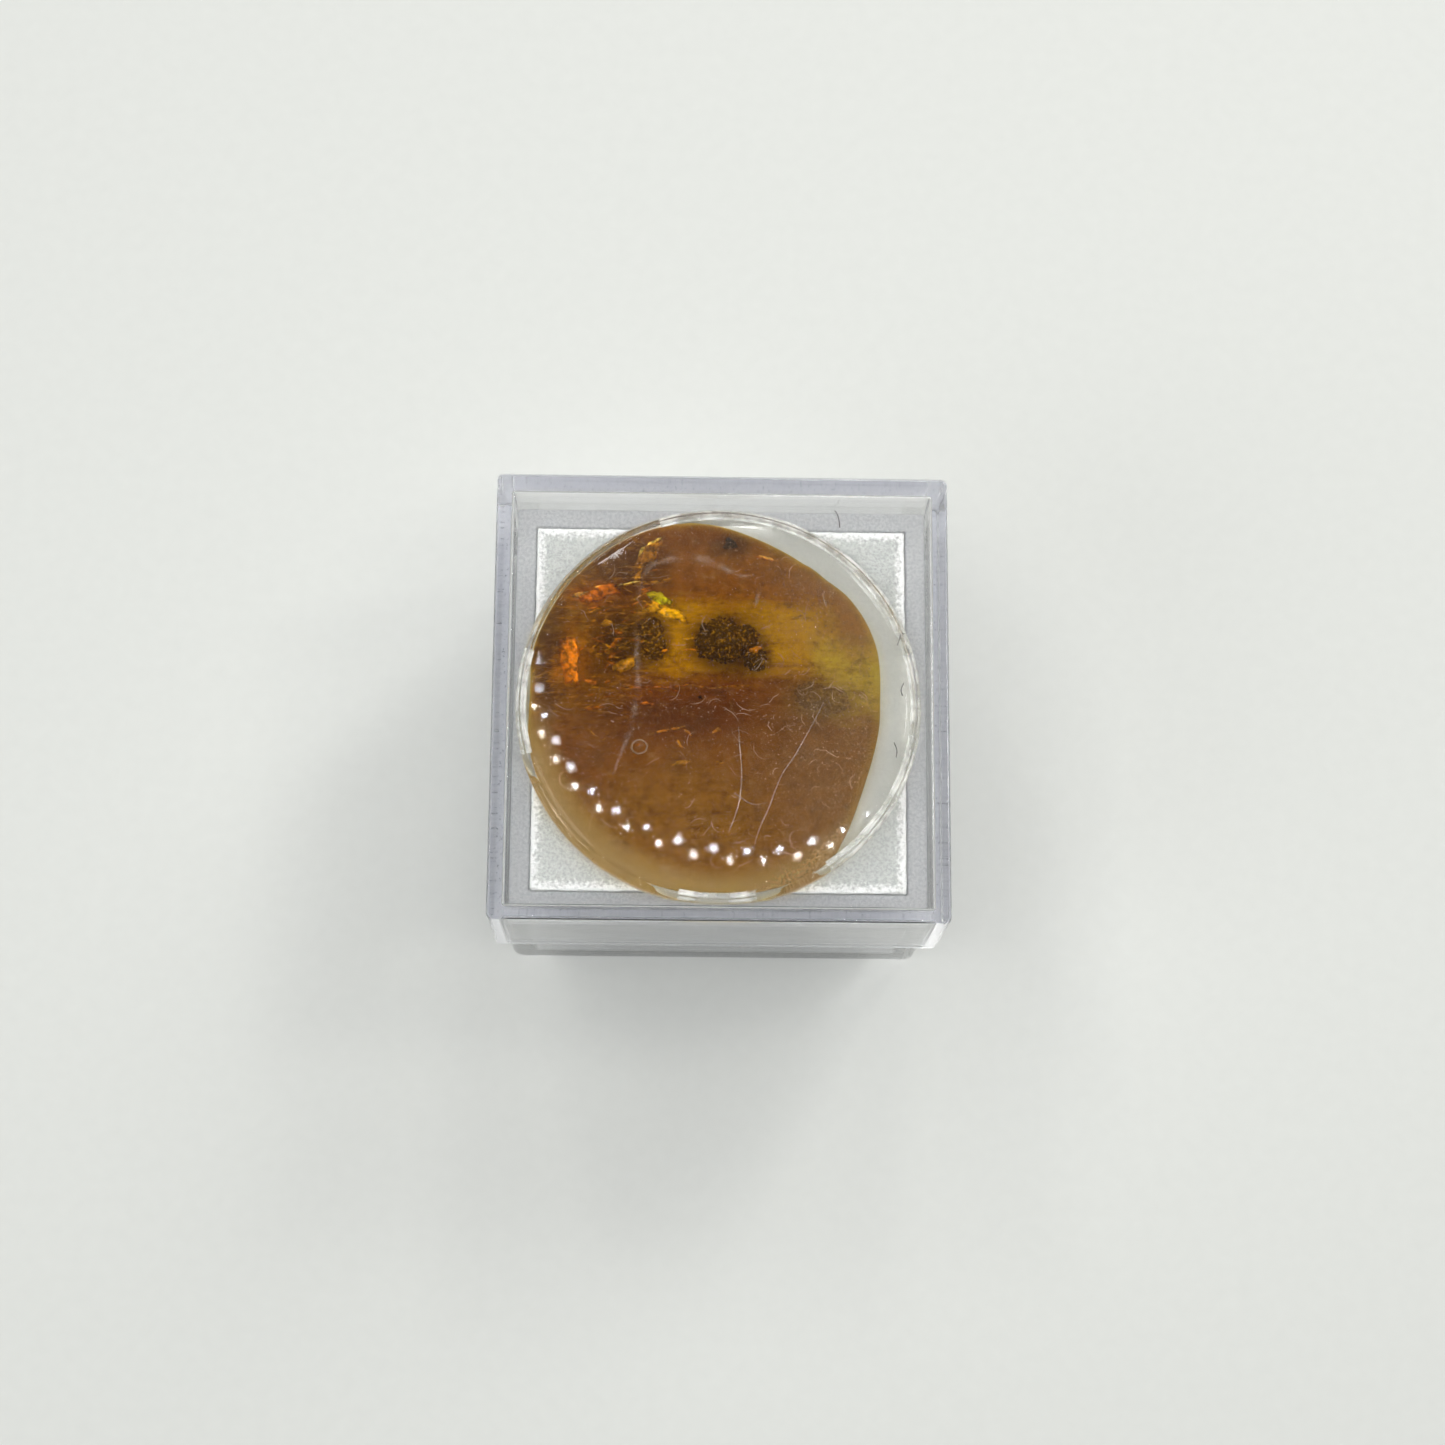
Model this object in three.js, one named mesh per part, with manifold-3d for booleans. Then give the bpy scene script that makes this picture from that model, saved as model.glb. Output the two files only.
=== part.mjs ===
// An amber specimen in a clear two-part gem box. A clear lid slides over a clear base, a white foam pad fills
// the base, and a low domed disc of clear resin lies on the pad. The disc holds the amber, which is parted
// level through the dark clots that are sealed in it.
// Millimetres, +Z up. The origin is the middle of the base's underside, and +Y is the back of the box.

import * as THREE from 'three';
import { mergeVertices } from 'three/addons/utils/BufferGeometryUtils.js';
import Module from 'manifold-3d';

// Box lid
const LID_WIDTH = 30;
const LID_HEIGHT = 10.5;
const LID_WALL = 0.95;
const LID_PLATE = 1.0;
const LID_CORNER = 0.7;
const LID_EDGE = 0.3;

// Box base: a foot below the lid's rim, and a narrower collar inside the lid
const FOOT_WIDTH = 28.6;
const FOOT_HEIGHT = 9.75;
const FOOT_CORNER = 1.0;
const FOOT_EDGE = 0.4;
const COLLAR_WIDTH = 27.6;
const BASE_HEIGHT = 16;
const BASE_CAVITY = 25;
const BASE_FLOOR = 1.3;
const CAVITY_CORNER = 0.5;

// Foam pad
const PAD_WIDTH = 24.7;
const PAD_CORNER = 0.6;

// Resin disc
const DISC_RADIUS = 13.5;
const DISC_THICKNESS = 3.1;
const DOME_RISE = 1.8;
const EDGE_ROUND = 0.4;
const DISC_X = -0.1;

// Amber in the disc, its edge given as degrees round the disc's axis and distance from it
const AMBER_EDGE = [
  [90, 12.3], [69, 11.4], [43, 11.35], [22, 11.2], [0, 10.65], [-15, 10.7], [-37, 11.4], [-49, 12.3],
  [-62, 13.2], [-76, 13.0], [-90, 12.5], [-105, 13.0], [-122, 13.3], [-145, 13.3], [-160, 13.1],
  [-175, 12.5], [-188, 12.5], [-200, 13.0], [-220, 13.2], [-242, 13.2], [-257, 12.7],
];
const AMBER_REACH = 12.85;
const AMBER_COVER = 0.65;
const PARTING_HEIGHT = 1.15;
const PARTING_GAP = 0.1;

// Lobes of each dark clot: middle x and y from the disc's axis, and half sizes along x, y and z
const CLOT_LOBES = {
  clot_large: [
    [0.05, 4.55, 1.45, 1.25, 0.55],
    [-0.75, 3.9, 0.75, 0.95, 0.45],
    [1.5, 4.15, 1.1, 0.95, 0.5],
    [2.35, 3.0, 0.75, 0.85, 0.45],
  ],
  clot_left: [
    [-4.55, 4.9, 0.8, 0.85, 0.45],
    [-4.2, 3.8, 0.7, 0.9, 0.4],
  ],
  clot_right: [
    [6.2, 0.5, 0.95, 0.8, 0.35],
    [7.4, 0.15, 0.95, 0.75, 0.35],
  ],
};

// Clearances between neighbours
const REST_GAP = 0.05;
const POCKET_GAP = 0.2;

// Fineness of the round forms
const ROUND_STEPS = 4;
const DISC_STEPS = 60;
const DOME_STEPS = 6;
const AMBER_STEPS = 48;
const LOBE_DETAIL = 2;
const MERGE_DISTANCE = 1e-4;
const OVERSHOOT = 1;

const wasm = await Module();
wasm.setup();

// A closed geometry as a solid that can be joined and cut
function solid(geometry) {
  geometry.deleteAttribute('normal');
  geometry.deleteAttribute('uv');
  const merged = mergeVertices(geometry, MERGE_DISTANCE);
  const corners = merged.index.array;
  const triangles = [];
  for (let i = 0; i < corners.length; i += 3) {
    const [a, b, c] = corners.slice(i, i + 3);
    if (a !== b && b !== c && c !== a) {
      triangles.push(a, b, c);
    }
  }
  const vertProperties = new Float32Array(merged.attributes.position.array);
  const triVerts = new Uint32Array(triangles);
  return new wasm.Manifold(new wasm.Mesh({ numProp: 3, vertProperties, triVerts }));
}

// A solid as a named mesh of the object
function piece(name, body, material) {
  const faces = body.getMesh();
  const geometry = new THREE.BufferGeometry();
  geometry.setAttribute('position', new THREE.BufferAttribute(faces.vertProperties, 3));
  geometry.setIndex(new THREE.BufferAttribute(faces.triVerts, 1));
  geometry.computeVertexNormals();
  const mesh = new THREE.Mesh(geometry, new THREE.MeshStandardMaterial(material));
  mesh.name = name;
  return mesh;
}

// A square outline with round corners, centred on the axis
function roundSquare(width, corner) {
  const half = width / 2;
  const inner = half - corner;
  const shape = new THREE.Shape();
  shape.absarc(inner, inner, corner, 0, Math.PI / 2);
  shape.absarc(-inner, inner, corner, Math.PI / 2, Math.PI);
  shape.absarc(-inner, -inner, corner, Math.PI, 1.5 * Math.PI);
  shape.absarc(inner, -inner, corner, 1.5 * Math.PI, 2 * Math.PI);
  shape.closePath();
  return shape;
}

// An upright square block with round corners, from one height to another, its end edges eased by a bevel
function block(width, corner, low, high, edge = 0) {
  const geometry = new THREE.ExtrudeGeometry(roundSquare(width, corner), {
    depth: high - low - 2 * edge,
    curveSegments: ROUND_STEPS,
    bevelEnabled: edge > 0,
    bevelThickness: edge,
    bevelSize: edge,
    bevelOffset: -edge,
    bevelSegments: 2,
  });
  geometry.translate(0, 0, low + edge);
  return solid(geometry);
}

function lidSolid() {
  const low = FOOT_HEIGHT;
  const high = low + LID_HEIGHT;
  const shell = block(LID_WIDTH, LID_CORNER, low - OVERSHOOT, high, LID_EDGE);
  const cavity = block(LID_WIDTH - 2 * LID_WALL, LID_CORNER, low - 2 * OVERSHOOT, high - LID_PLATE);
  const below = block(LID_WIDTH + OVERSHOOT, LID_CORNER, low - 2 * OVERSHOOT, low);
  return shell.subtract(cavity).subtract(below);
}

function baseSolid() {
  const foot = block(FOOT_WIDTH, FOOT_CORNER, 0, FOOT_HEIGHT - REST_GAP, FOOT_EDGE);
  const collar = block(COLLAR_WIDTH, FOOT_CORNER, BASE_FLOOR, BASE_HEIGHT);
  const cavity = block(BASE_CAVITY, CAVITY_CORNER, BASE_FLOOR, BASE_HEIGHT + OVERSHOOT);
  return foot.add(collar).subtract(cavity);
}

function padSolid() {
  return block(PAD_WIDTH, PAD_CORNER, BASE_FLOOR + REST_GAP, BASE_HEIGHT);
}

// Height of the dome above the disc's underside, at a distance from the disc's axis
function domeHeight(radius) {
  const sphere = (DISC_RADIUS ** 2 + DOME_RISE ** 2) / (2 * DOME_RISE);
  return DISC_THICKNESS - sphere + Math.sqrt(sphere ** 2 - radius ** 2);
}

// Points of the dome from its rim to its top, lowered by a depth
function domeProfile(rim, depth) {
  const points = [];
  for (let step = 0; step <= DOME_STEPS; step += 1) {
    const radius = rim * (1 - step / DOME_STEPS);
    points.push(new THREE.Vector2(radius, domeHeight(radius) - depth));
  }
  return points;
}

// A solid turned about the disc's axis, with its heights counted from the disc's underside
function turned(profile) {
  const geometry = new THREE.LatheGeometry(profile, DISC_STEPS);
  geometry.rotateX(Math.PI / 2);
  return solid(geometry);
}

// The whole round of the disc
function discSolid() {
  const side = DISC_THICKNESS - DOME_RISE;
  return turned([
    new THREE.Vector2(0, 0),
    new THREE.Vector2(DISC_RADIUS - EDGE_ROUND, 0),
    new THREE.Vector2(DISC_RADIUS - EDGE_ROUND / 4, EDGE_ROUND / 4),
    new THREE.Vector2(DISC_RADIUS, EDGE_ROUND),
    new THREE.Vector2(DISC_RADIUS, side - EDGE_ROUND),
    new THREE.Vector2(DISC_RADIUS - EDGE_ROUND / 4, side - EDGE_ROUND / 4),
    ...domeProfile(DISC_RADIUS - EDGE_ROUND, 0),
  ]);
}

// The amber as one piece: its outline, held under the dome, grown all round by a clearance
function amberSolid(grow) {
  const corners = AMBER_EDGE.map(([degrees, distance]) => {
    const radius = Math.min(distance, AMBER_REACH) + grow;
    const angle = THREE.MathUtils.degToRad(degrees);
    return new THREE.Vector3(radius * Math.cos(angle), radius * Math.sin(angle), 0);
  });
  const edge = new THREE.CatmullRomCurve3(corners, true).getPoints(AMBER_STEPS).slice(0, -1);
  const shape = new THREE.Shape(edge.map((point) => new THREE.Vector2(point.x, point.y)));
  const low = REST_GAP - grow;
  const column = new THREE.ExtrudeGeometry(shape, { depth: DISC_THICKNESS - low, bevelEnabled: false });
  column.translate(0, 0, low);
  const vault = turned([
    new THREE.Vector2(0, low - OVERSHOOT),
    new THREE.Vector2(DISC_RADIUS, low - OVERSHOOT),
    ...domeProfile(DISC_RADIUS, AMBER_COVER - grow),
  ]);
  return solid(column).intersect(vault);
}

// The lobes of a clot as one lump, grown all round by a clearance
function clotSolid(lobes, grow) {
  const lumps = lobes.map(([x, y, halfX, halfY, halfZ]) => {
    const lump = new THREE.IcosahedronGeometry(1, LOBE_DETAIL);
    lump.scale(halfX + grow, halfY + grow, halfZ + grow);
    lump.translate(x, y, PARTING_HEIGHT);
    return solid(lump);
  });
  return lumps.reduce((whole, lump) => whole.add(lump));
}

// A level slab wider than the disc
function slab(low, high) {
  return block(3 * DISC_RADIUS, LID_CORNER, low, high);
}

const clearPlastic = { color: 0xe6e9ea, roughness: 0.05, metalness: 0, transparent: true, opacity: 0.3 };
const clearResin = { color: 0xdcdcd6, roughness: 0.08, metalness: 0, transparent: true, opacity: 0.35 };
const whiteFoam = { color: 0xe4e6e2, roughness: 0.95, metalness: 0 };
const amber = { color: 0x9c5a1c, roughness: 0.15, metalness: 0, transparent: true, opacity: 0.7 };
const darkClot = { color: 0x2e2416, roughness: 0.8, metalness: 0 };

// The disc with all that it holds, in the disc's own frame
function specimen() {
  const group = new THREE.Group();
  group.position.set(DISC_X, 0, BASE_HEIGHT + REST_GAP);
  let body = amberSolid(0);
  for (const lobes of Object.values(CLOT_LOBES)) {
    body = body.subtract(clotSolid(lobes, POCKET_GAP));
  }
  const upper = slab(PARTING_HEIGHT + PARTING_GAP / 2, 2 * DISC_THICKNESS);
  const lower = slab(-OVERSHOOT, PARTING_HEIGHT - PARTING_GAP / 2);
  group.add(piece('resin_disc', discSolid().subtract(amberSolid(POCKET_GAP)), clearResin));
  group.add(piece('amber_upper', body.intersect(upper), amber));
  group.add(piece('amber_lower', body.intersect(lower), amber));
  for (const [name, lobes] of Object.entries(CLOT_LOBES)) {
    group.add(piece(name, clotSolid(lobes, 0), darkClot));
  }
  return group;
}

const object = new THREE.Group();
object.add(piece('box_lid', lidSolid(), clearPlastic));
object.add(piece('box_base', baseSolid(), clearPlastic));
object.add(piece('foam_pad', padSolid(), whiteFoam));
object.add(specimen());

export default object;
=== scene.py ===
"""Looks of an amber specimen in a clear gem box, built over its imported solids.

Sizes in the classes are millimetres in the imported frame: +Z up, +Y the back of the box, and the origin in
the middle of the base's underside. Meshes are made in metres.
"""

import logging
import math
import random
from dataclasses import dataclass, field
from enum import Enum
from typing import Callable, Optional, Sequence, Union

import bmesh
import bpy
import numpy as np
from mathutils import Matrix, Vector, noise


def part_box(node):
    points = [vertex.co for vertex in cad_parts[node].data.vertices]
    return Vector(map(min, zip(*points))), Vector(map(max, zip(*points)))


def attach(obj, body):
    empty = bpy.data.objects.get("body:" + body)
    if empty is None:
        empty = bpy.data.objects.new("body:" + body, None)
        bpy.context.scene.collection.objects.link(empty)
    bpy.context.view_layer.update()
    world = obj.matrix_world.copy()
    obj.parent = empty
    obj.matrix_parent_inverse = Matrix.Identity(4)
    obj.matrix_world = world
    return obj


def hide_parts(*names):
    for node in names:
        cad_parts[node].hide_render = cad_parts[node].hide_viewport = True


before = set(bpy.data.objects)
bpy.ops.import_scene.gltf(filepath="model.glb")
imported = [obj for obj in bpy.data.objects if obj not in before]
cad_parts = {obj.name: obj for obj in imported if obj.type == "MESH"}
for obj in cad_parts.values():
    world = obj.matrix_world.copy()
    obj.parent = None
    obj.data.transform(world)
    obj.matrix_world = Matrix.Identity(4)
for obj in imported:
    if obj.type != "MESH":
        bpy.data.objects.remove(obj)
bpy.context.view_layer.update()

LOG = logging.getLogger("amber_specimen")
MM = 0.001
ROOT = "root"

Colour = tuple[float, float, float]
Point = tuple[float, float]
Ring = list[Vector]
Shell = tuple[list[Vector], list[list[int]]]
Value = Union["Channel", bpy.types.NodeSocket, float]


class Channel:
    """A number that varies over a surface. Arithmetic on it adds Math nodes to its recipe."""

    def __init__(self, recipe: "Recipe", socket: bpy.types.NodeSocket) -> None:
        """Wrap a socket of a recipe."""
        self.recipe = recipe
        self.socket = socket

    def _math(self, operation: str, left: Value, right: Value) -> "Channel":
        """Add one Math node.

        Args:
            operation: the Math node's operation.
            left: its first value.
            right: its second value.

        Returns:
            The node's result.
        """
        node = self.recipe.node("ShaderNodeMath", {"operation": operation}, {0: left, 1: right})
        return Channel(self.recipe, node.outputs[0])

    def __add__(self, other: Value) -> "Channel":
        """Sum."""
        return self._math("ADD", self, other)

    def __radd__(self, other: Value) -> "Channel":
        """Sum, with a plain number first."""
        return self._math("ADD", other, self)

    def __sub__(self, other: Value) -> "Channel":
        """Difference."""
        return self._math("SUBTRACT", self, other)

    def __rsub__(self, other: Value) -> "Channel":
        """Difference, with a plain number first."""
        return self._math("SUBTRACT", other, self)

    def __mul__(self, other: Value) -> "Channel":
        """Product."""
        return self._math("MULTIPLY", self, other)

    def __rmul__(self, other: Value) -> "Channel":
        """Product, with a plain number first."""
        return self._math("MULTIPLY", other, self)

    def __truediv__(self, other: Value) -> "Channel":
        """Quotient."""
        return self._math("DIVIDE", self, other)

    def __pow__(self, other: Value) -> "Channel":
        """Power."""
        return self._math("POWER", self, other)

    def lift(self, floor: Value) -> "Channel":
        """The larger of this and another value."""
        return self._math("MAXIMUM", self, floor)

    def fade(self, none: float, full: float) -> "Channel":
        """A soft step.

        Args:
            none: where the result is 0.
            full: where the result is 1.

        Returns:
            The step's value, from 0 to 1.
        """
        low, high = min(none, full), max(none, full)
        ends = (0.0, 1.0) if none < full else (1.0, 0.0)
        settings = {"interpolation_type": "SMOOTHSTEP", "clamp": True}
        sockets = {"Value": self, "From Min": low, "From Max": high, "To Min": ends[0], "To Max": ends[1]}
        node = self.recipe.node("ShaderNodeMapRange", settings, sockets)
        return Channel(self.recipe, node.outputs["Result"])


class Recipe:
    """A material or a sky under construction."""

    def __init__(self, name: str, sky: bool = False) -> None:
        """Start an empty material, or an empty sky.

        Args:
            name: its name.
            sky: whether it is a sky.
        """
        self.owner = (bpy.data.worlds if sky else bpy.data.materials).new(name)
        self.owner.use_nodes = True
        self.tree = self.owner.node_tree
        self.tree.nodes.clear()
        self.output = self.tree.nodes.new("ShaderNodeOutputWorld" if sky else "ShaderNodeOutputMaterial")

    def node(self, kind: str, settings: Optional[dict] = None,
             sockets: Optional[dict] = None) -> bpy.types.Node:
        """Add a node.

        Args:
            kind: the node's type.
            settings: its properties, which are set first.
            sockets: values or links by socket name or number.

        Returns:
            The node.
        """
        node = self.tree.nodes.new(kind)
        for key, value in (settings or {}).items():
            setattr(node, key, value)
        for key, value in (sockets or {}).items():
            self.feed(node.inputs[key], value)
        return node

    def feed(self, socket: bpy.types.NodeSocket, value: object) -> None:
        """Link a channel or socket to a socket, or set a plain value on it.

        Args:
            socket: the socket to feed.
            value: what it is given.
        """
        if isinstance(value, Channel):
            value = value.socket
        if isinstance(value, bpy.types.NodeSocket):
            self.tree.links.new(value, socket)
        elif isinstance(value, tuple) and len(value) == 3 and socket.type == "RGBA":
            socket.default_value = (*value, 1.0)
        else:
            socket.default_value = value

    def place(self) -> bpy.types.NodeSocket:
        """The place on the piece.

        Returns:
            The place, in millimetres.
        """
        where = self.node("ShaderNodeTexCoord").outputs["Object"]
        scaled = self.node("ShaderNodeVectorMath", {"operation": "SCALE"}, {0: where, "Scale": 1 / MM})
        return scaled.outputs[0]

    def stretched(self, place: bpy.types.NodeSocket, along: Sequence[float]) -> bpy.types.NodeSocket:
        """A place with its three coordinates multiplied, to draw a pattern out."""
        scale = {0: place, 1: tuple(along)}
        return self.node("ShaderNodeVectorMath", {"operation": "MULTIPLY"}, scale).outputs[0]

    def axes(self, place: bpy.types.NodeSocket) -> tuple[Channel, Channel, Channel]:
        """The three coordinates of a place."""
        parts = self.node("ShaderNodeSeparateXYZ", None, {0: place})
        return tuple(Channel(self, socket) for socket in parts.outputs)

    def mottle(self, place: bpy.types.NodeSocket, scale: float, detail: float = 3.0,
               rough: float = 0.55) -> Channel:
        """Cloudy variation.

        Args:
            place: where it is read.
            scale: clouds per millimetre.
            detail: how many finer layers it has.
            rough: how strong those layers are.

        Returns:
            A value of about 0.2 to 0.8.
        """
        sockets = {"Vector": place, "Scale": scale, "Detail": detail, "Roughness": rough}
        return Channel(self, self.node("ShaderNodeTexNoise", None, sockets).outputs[0])

    def cells(self, place: bpy.types.NodeSocket, scale: float) -> Channel:
        """Distance to the nearest of many scattered points."""
        node = self.node("ShaderNodeTexVoronoi", None, {"Vector": place, "Scale": scale})
        return Channel(self, node.outputs["Distance"])

    def blend(self, share: Value, first: object, second: object) -> bpy.types.NodeSocket:
        """A mix of two colours, by the share of the second."""
        node = self.node("ShaderNodeMix", {"data_type": "RGBA"}, {0: share, 6: first, 7: second})
        return node.outputs[2]

    def relief(self, height: Channel, depth: float, strength: float = 1.0) -> bpy.types.NodeSocket:
        """A normal that follows a height.

        Args:
            height: the height, from 0 to 1.
            depth: the real height of 1, in millimetres.
            strength: how much of it shows.

        Returns:
            The bent normal.
        """
        sockets = {"Strength": strength, "Distance": depth * MM, "Height": height}
        return self.node("ShaderNodeBump", None, sockets).outputs["Normal"]

    def surface(self, sockets: dict) -> bpy.types.NodeSocket:
        """A Principled shader with these sockets."""
        return self.node("ShaderNodeBsdfPrincipled", None, sockets).outputs[0]

    def mix(self, share: Value, first: bpy.types.NodeSocket,
            second: bpy.types.NodeSocket) -> bpy.types.NodeSocket:
        """A mix of two shaders, by the share of the second."""
        return self.node("ShaderNodeMixShader", None, {0: share, 1: first, 2: second}).outputs[0]

    def finish(self, shader: bpy.types.NodeSocket,
               lamp_tint: Optional[Colour] = None) -> Union[bpy.types.Material, bpy.types.World]:
        """End the recipe.

        Args:
            shader: what the surface shows.
            lamp_tint: for a clear solid, the colour in which it lets lamplight through.

        Returns:
            The finished material or sky.
        """
        if lamp_tint is not None:
            lamp = self.node("ShaderNodeLightPath").outputs["Is Shadow Ray"]
            clear = self.node("ShaderNodeBsdfTransparent", None, {"Color": lamp_tint}).outputs[0]
            shader = self.mix(lamp, shader, clear)
        self.feed(self.output.inputs["Surface"], shader)
        return self.owner

    def absorb(self, colour: Colour, density: float) -> None:
        """Fill the solid with a plain absorption, by colour and strength per metre."""
        node = self.node("ShaderNodeVolumeAbsorption", None, {"Color": colour, "Density": density})
        self.feed(self.output.inputs["Volume"], node.outputs[0])


@dataclass(frozen=True)
class ClearFinish:
    """A clear moulded or cast solid with a little surface wear."""

    name: str
    tint: Colour
    roughness: float
    ior: float
    absorb: Colour
    density: float
    ripple: float
    # frost: the share of a white painted-highlight layer, used on the disc's lip.
    frost: float = 0.0
    painted_highlight: Colour = (1.0, 1.0, 0.98)
    lamp_tint: Colour = (0.72, 0.72, 0.73)
    haze_scale: float = 0.35
    scuff_scale: float = 6.0
    painted_highlight_scale: float = 0.7

    def material(self) -> bpy.types.Material:
        """Make the material, with a cloudy white painted highlight on it where frost is given.

        Returns:
            The material.
        """
        recipe = Recipe(self.name)
        place = recipe.place()
        haze = recipe.mottle(place, self.haze_scale, 2.0)
        scuffs = recipe.mottle(place, self.scuff_scale, 1.0).fade(0.62, 0.75)
        shader = recipe.surface({
            "Base Color": recipe.blend(haze, self.tint, (1.0, 1.0, 1.0)),
            "Roughness": self.roughness * (0.5 + haze) + scuffs * (0.5 * self.roughness),
            "IOR": self.ior,
            "Transmission Weight": 1.0,
            "Normal": recipe.relief(haze, self.ripple),
        })
        # Painted highlight: a white diffuse layer in cloudy patches stands in for glints of light on the
        # lip.
        if self.frost:
            clouds = recipe.mottle(place, self.painted_highlight_scale, 2.0, 0.6)
            white = recipe.surface({"Base Color": self.painted_highlight, "Roughness": 0.4 + clouds * 0.2})
            shader = recipe.mix((0.35 + 0.65 * clouds.fade(0.36, 0.64)) * self.frost, shader, white)
        recipe.absorb(self.absorb, self.density)
        return recipe.finish(shader, self.lamp_tint)


@dataclass(frozen=True)
class GroundFinish:
    """A matt, slightly grainy face of a clear solid."""

    name: str
    tint: Colour
    bright: Colour
    roughness: float
    ior: float = 1.5
    clear_share: float = 0.75
    grain_depth: float = 0.04
    grain_scale: float = 5.0
    lamp_tint: Colour = (0.8, 0.8, 0.8)

    def material(self) -> bpy.types.Material:
        """Make the material.

        Returns:
            The material.
        """
        recipe = Recipe(self.name)
        place = recipe.place()
        grain = recipe.mottle(place, self.grain_scale, 3.0, 0.7)
        shader = recipe.surface({
            "Base Color": recipe.blend(grain.fade(0.35, 0.65), self.tint, self.bright),
            "Roughness": self.roughness * (0.7 + 0.6 * grain),
            "IOR": self.ior,
            "Transmission Weight": self.clear_share,
            "Normal": recipe.relief(grain, self.grain_depth, 0.5),
        })
        return recipe.finish(shader, self.lamp_tint)


@dataclass(frozen=True)
class FoamFinish:
    """White fine-celled foam, with painted shade in its cell hollows, a painted highlight along its outer
    edges and painted light on its upright sides.
    """

    name: str = "white_foam"
    bright: Colour = (0.48, 0.495, 0.475)
    # Below: painted shade in the cell hollows, a painted highlight along the outer edges, and painted light
    # on the upright sides.
    shade: Colour = (0.38, 0.39, 0.38)
    painted_edge_light: Colour = (0.82, 0.825, 0.815)
    side: Colour = (0.95, 0.955, 0.945)
    cells_per_mm: float = 6.0
    cell_depth: float = 0.12
    grain_scale: float = 4.0
    painted_edge_band: Point = (11.7, 12.3)
    painted_edge_wander: float = 2.0
    painted_edge_share: float = 0.8

    def material(self) -> bpy.types.Material:
        """Make the material.

        Returns:
            The material.
        """
        recipe = Recipe(self.name)
        place = recipe.place()
        walls = recipe.cells(place, self.cells_per_mm)
        grain = recipe.mottle(place, self.grain_scale, 3.0, 0.7)
        height = walls * 0.35 + grain
        # Painted shade: the cell hollows are darker.
        colour = recipe.blend(height.fade(0.8, 0.5), self.bright, self.shade)
        # Painted highlight: a ragged brighter band along the pad's outer edges.
        x, y, _ = recipe.axes(place)
        inset = (x * x).lift(y * y) ** 0.5
        ragged = inset + (grain - 0.5) * self.painted_edge_wander
        colour = recipe.blend(ragged.fade(*self.painted_edge_band) * self.painted_edge_share, colour, self.painted_edge_light)
        # Painted light: upright faces are brighter than the top, to make up for the little lamplight that
        # reaches the pad's sides inside the box.
        upright = recipe.axes(recipe.node("ShaderNodeNewGeometry").outputs["Normal"])[2]
        colour = recipe.blend(upright.fade(0.6, 0.2), colour, self.side)
        shader = recipe.surface({
            "Base Color": colour,
            "Roughness": 0.8 + grain * 0.15,
            "Specular IOR Level": 0.25,
            "Normal": recipe.relief(height, self.cell_depth, 0.6),
        })
        return recipe.finish(shader)


@dataclass(frozen=True)
class Patch:
    """A soft oval patch of colour in the amber, in millimetres from the disc's axis."""

    x: float
    y: float
    half_x: float
    half_y: float
    colour: Colour
    strength: float = 1.0
    soft: float = 0.7


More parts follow.
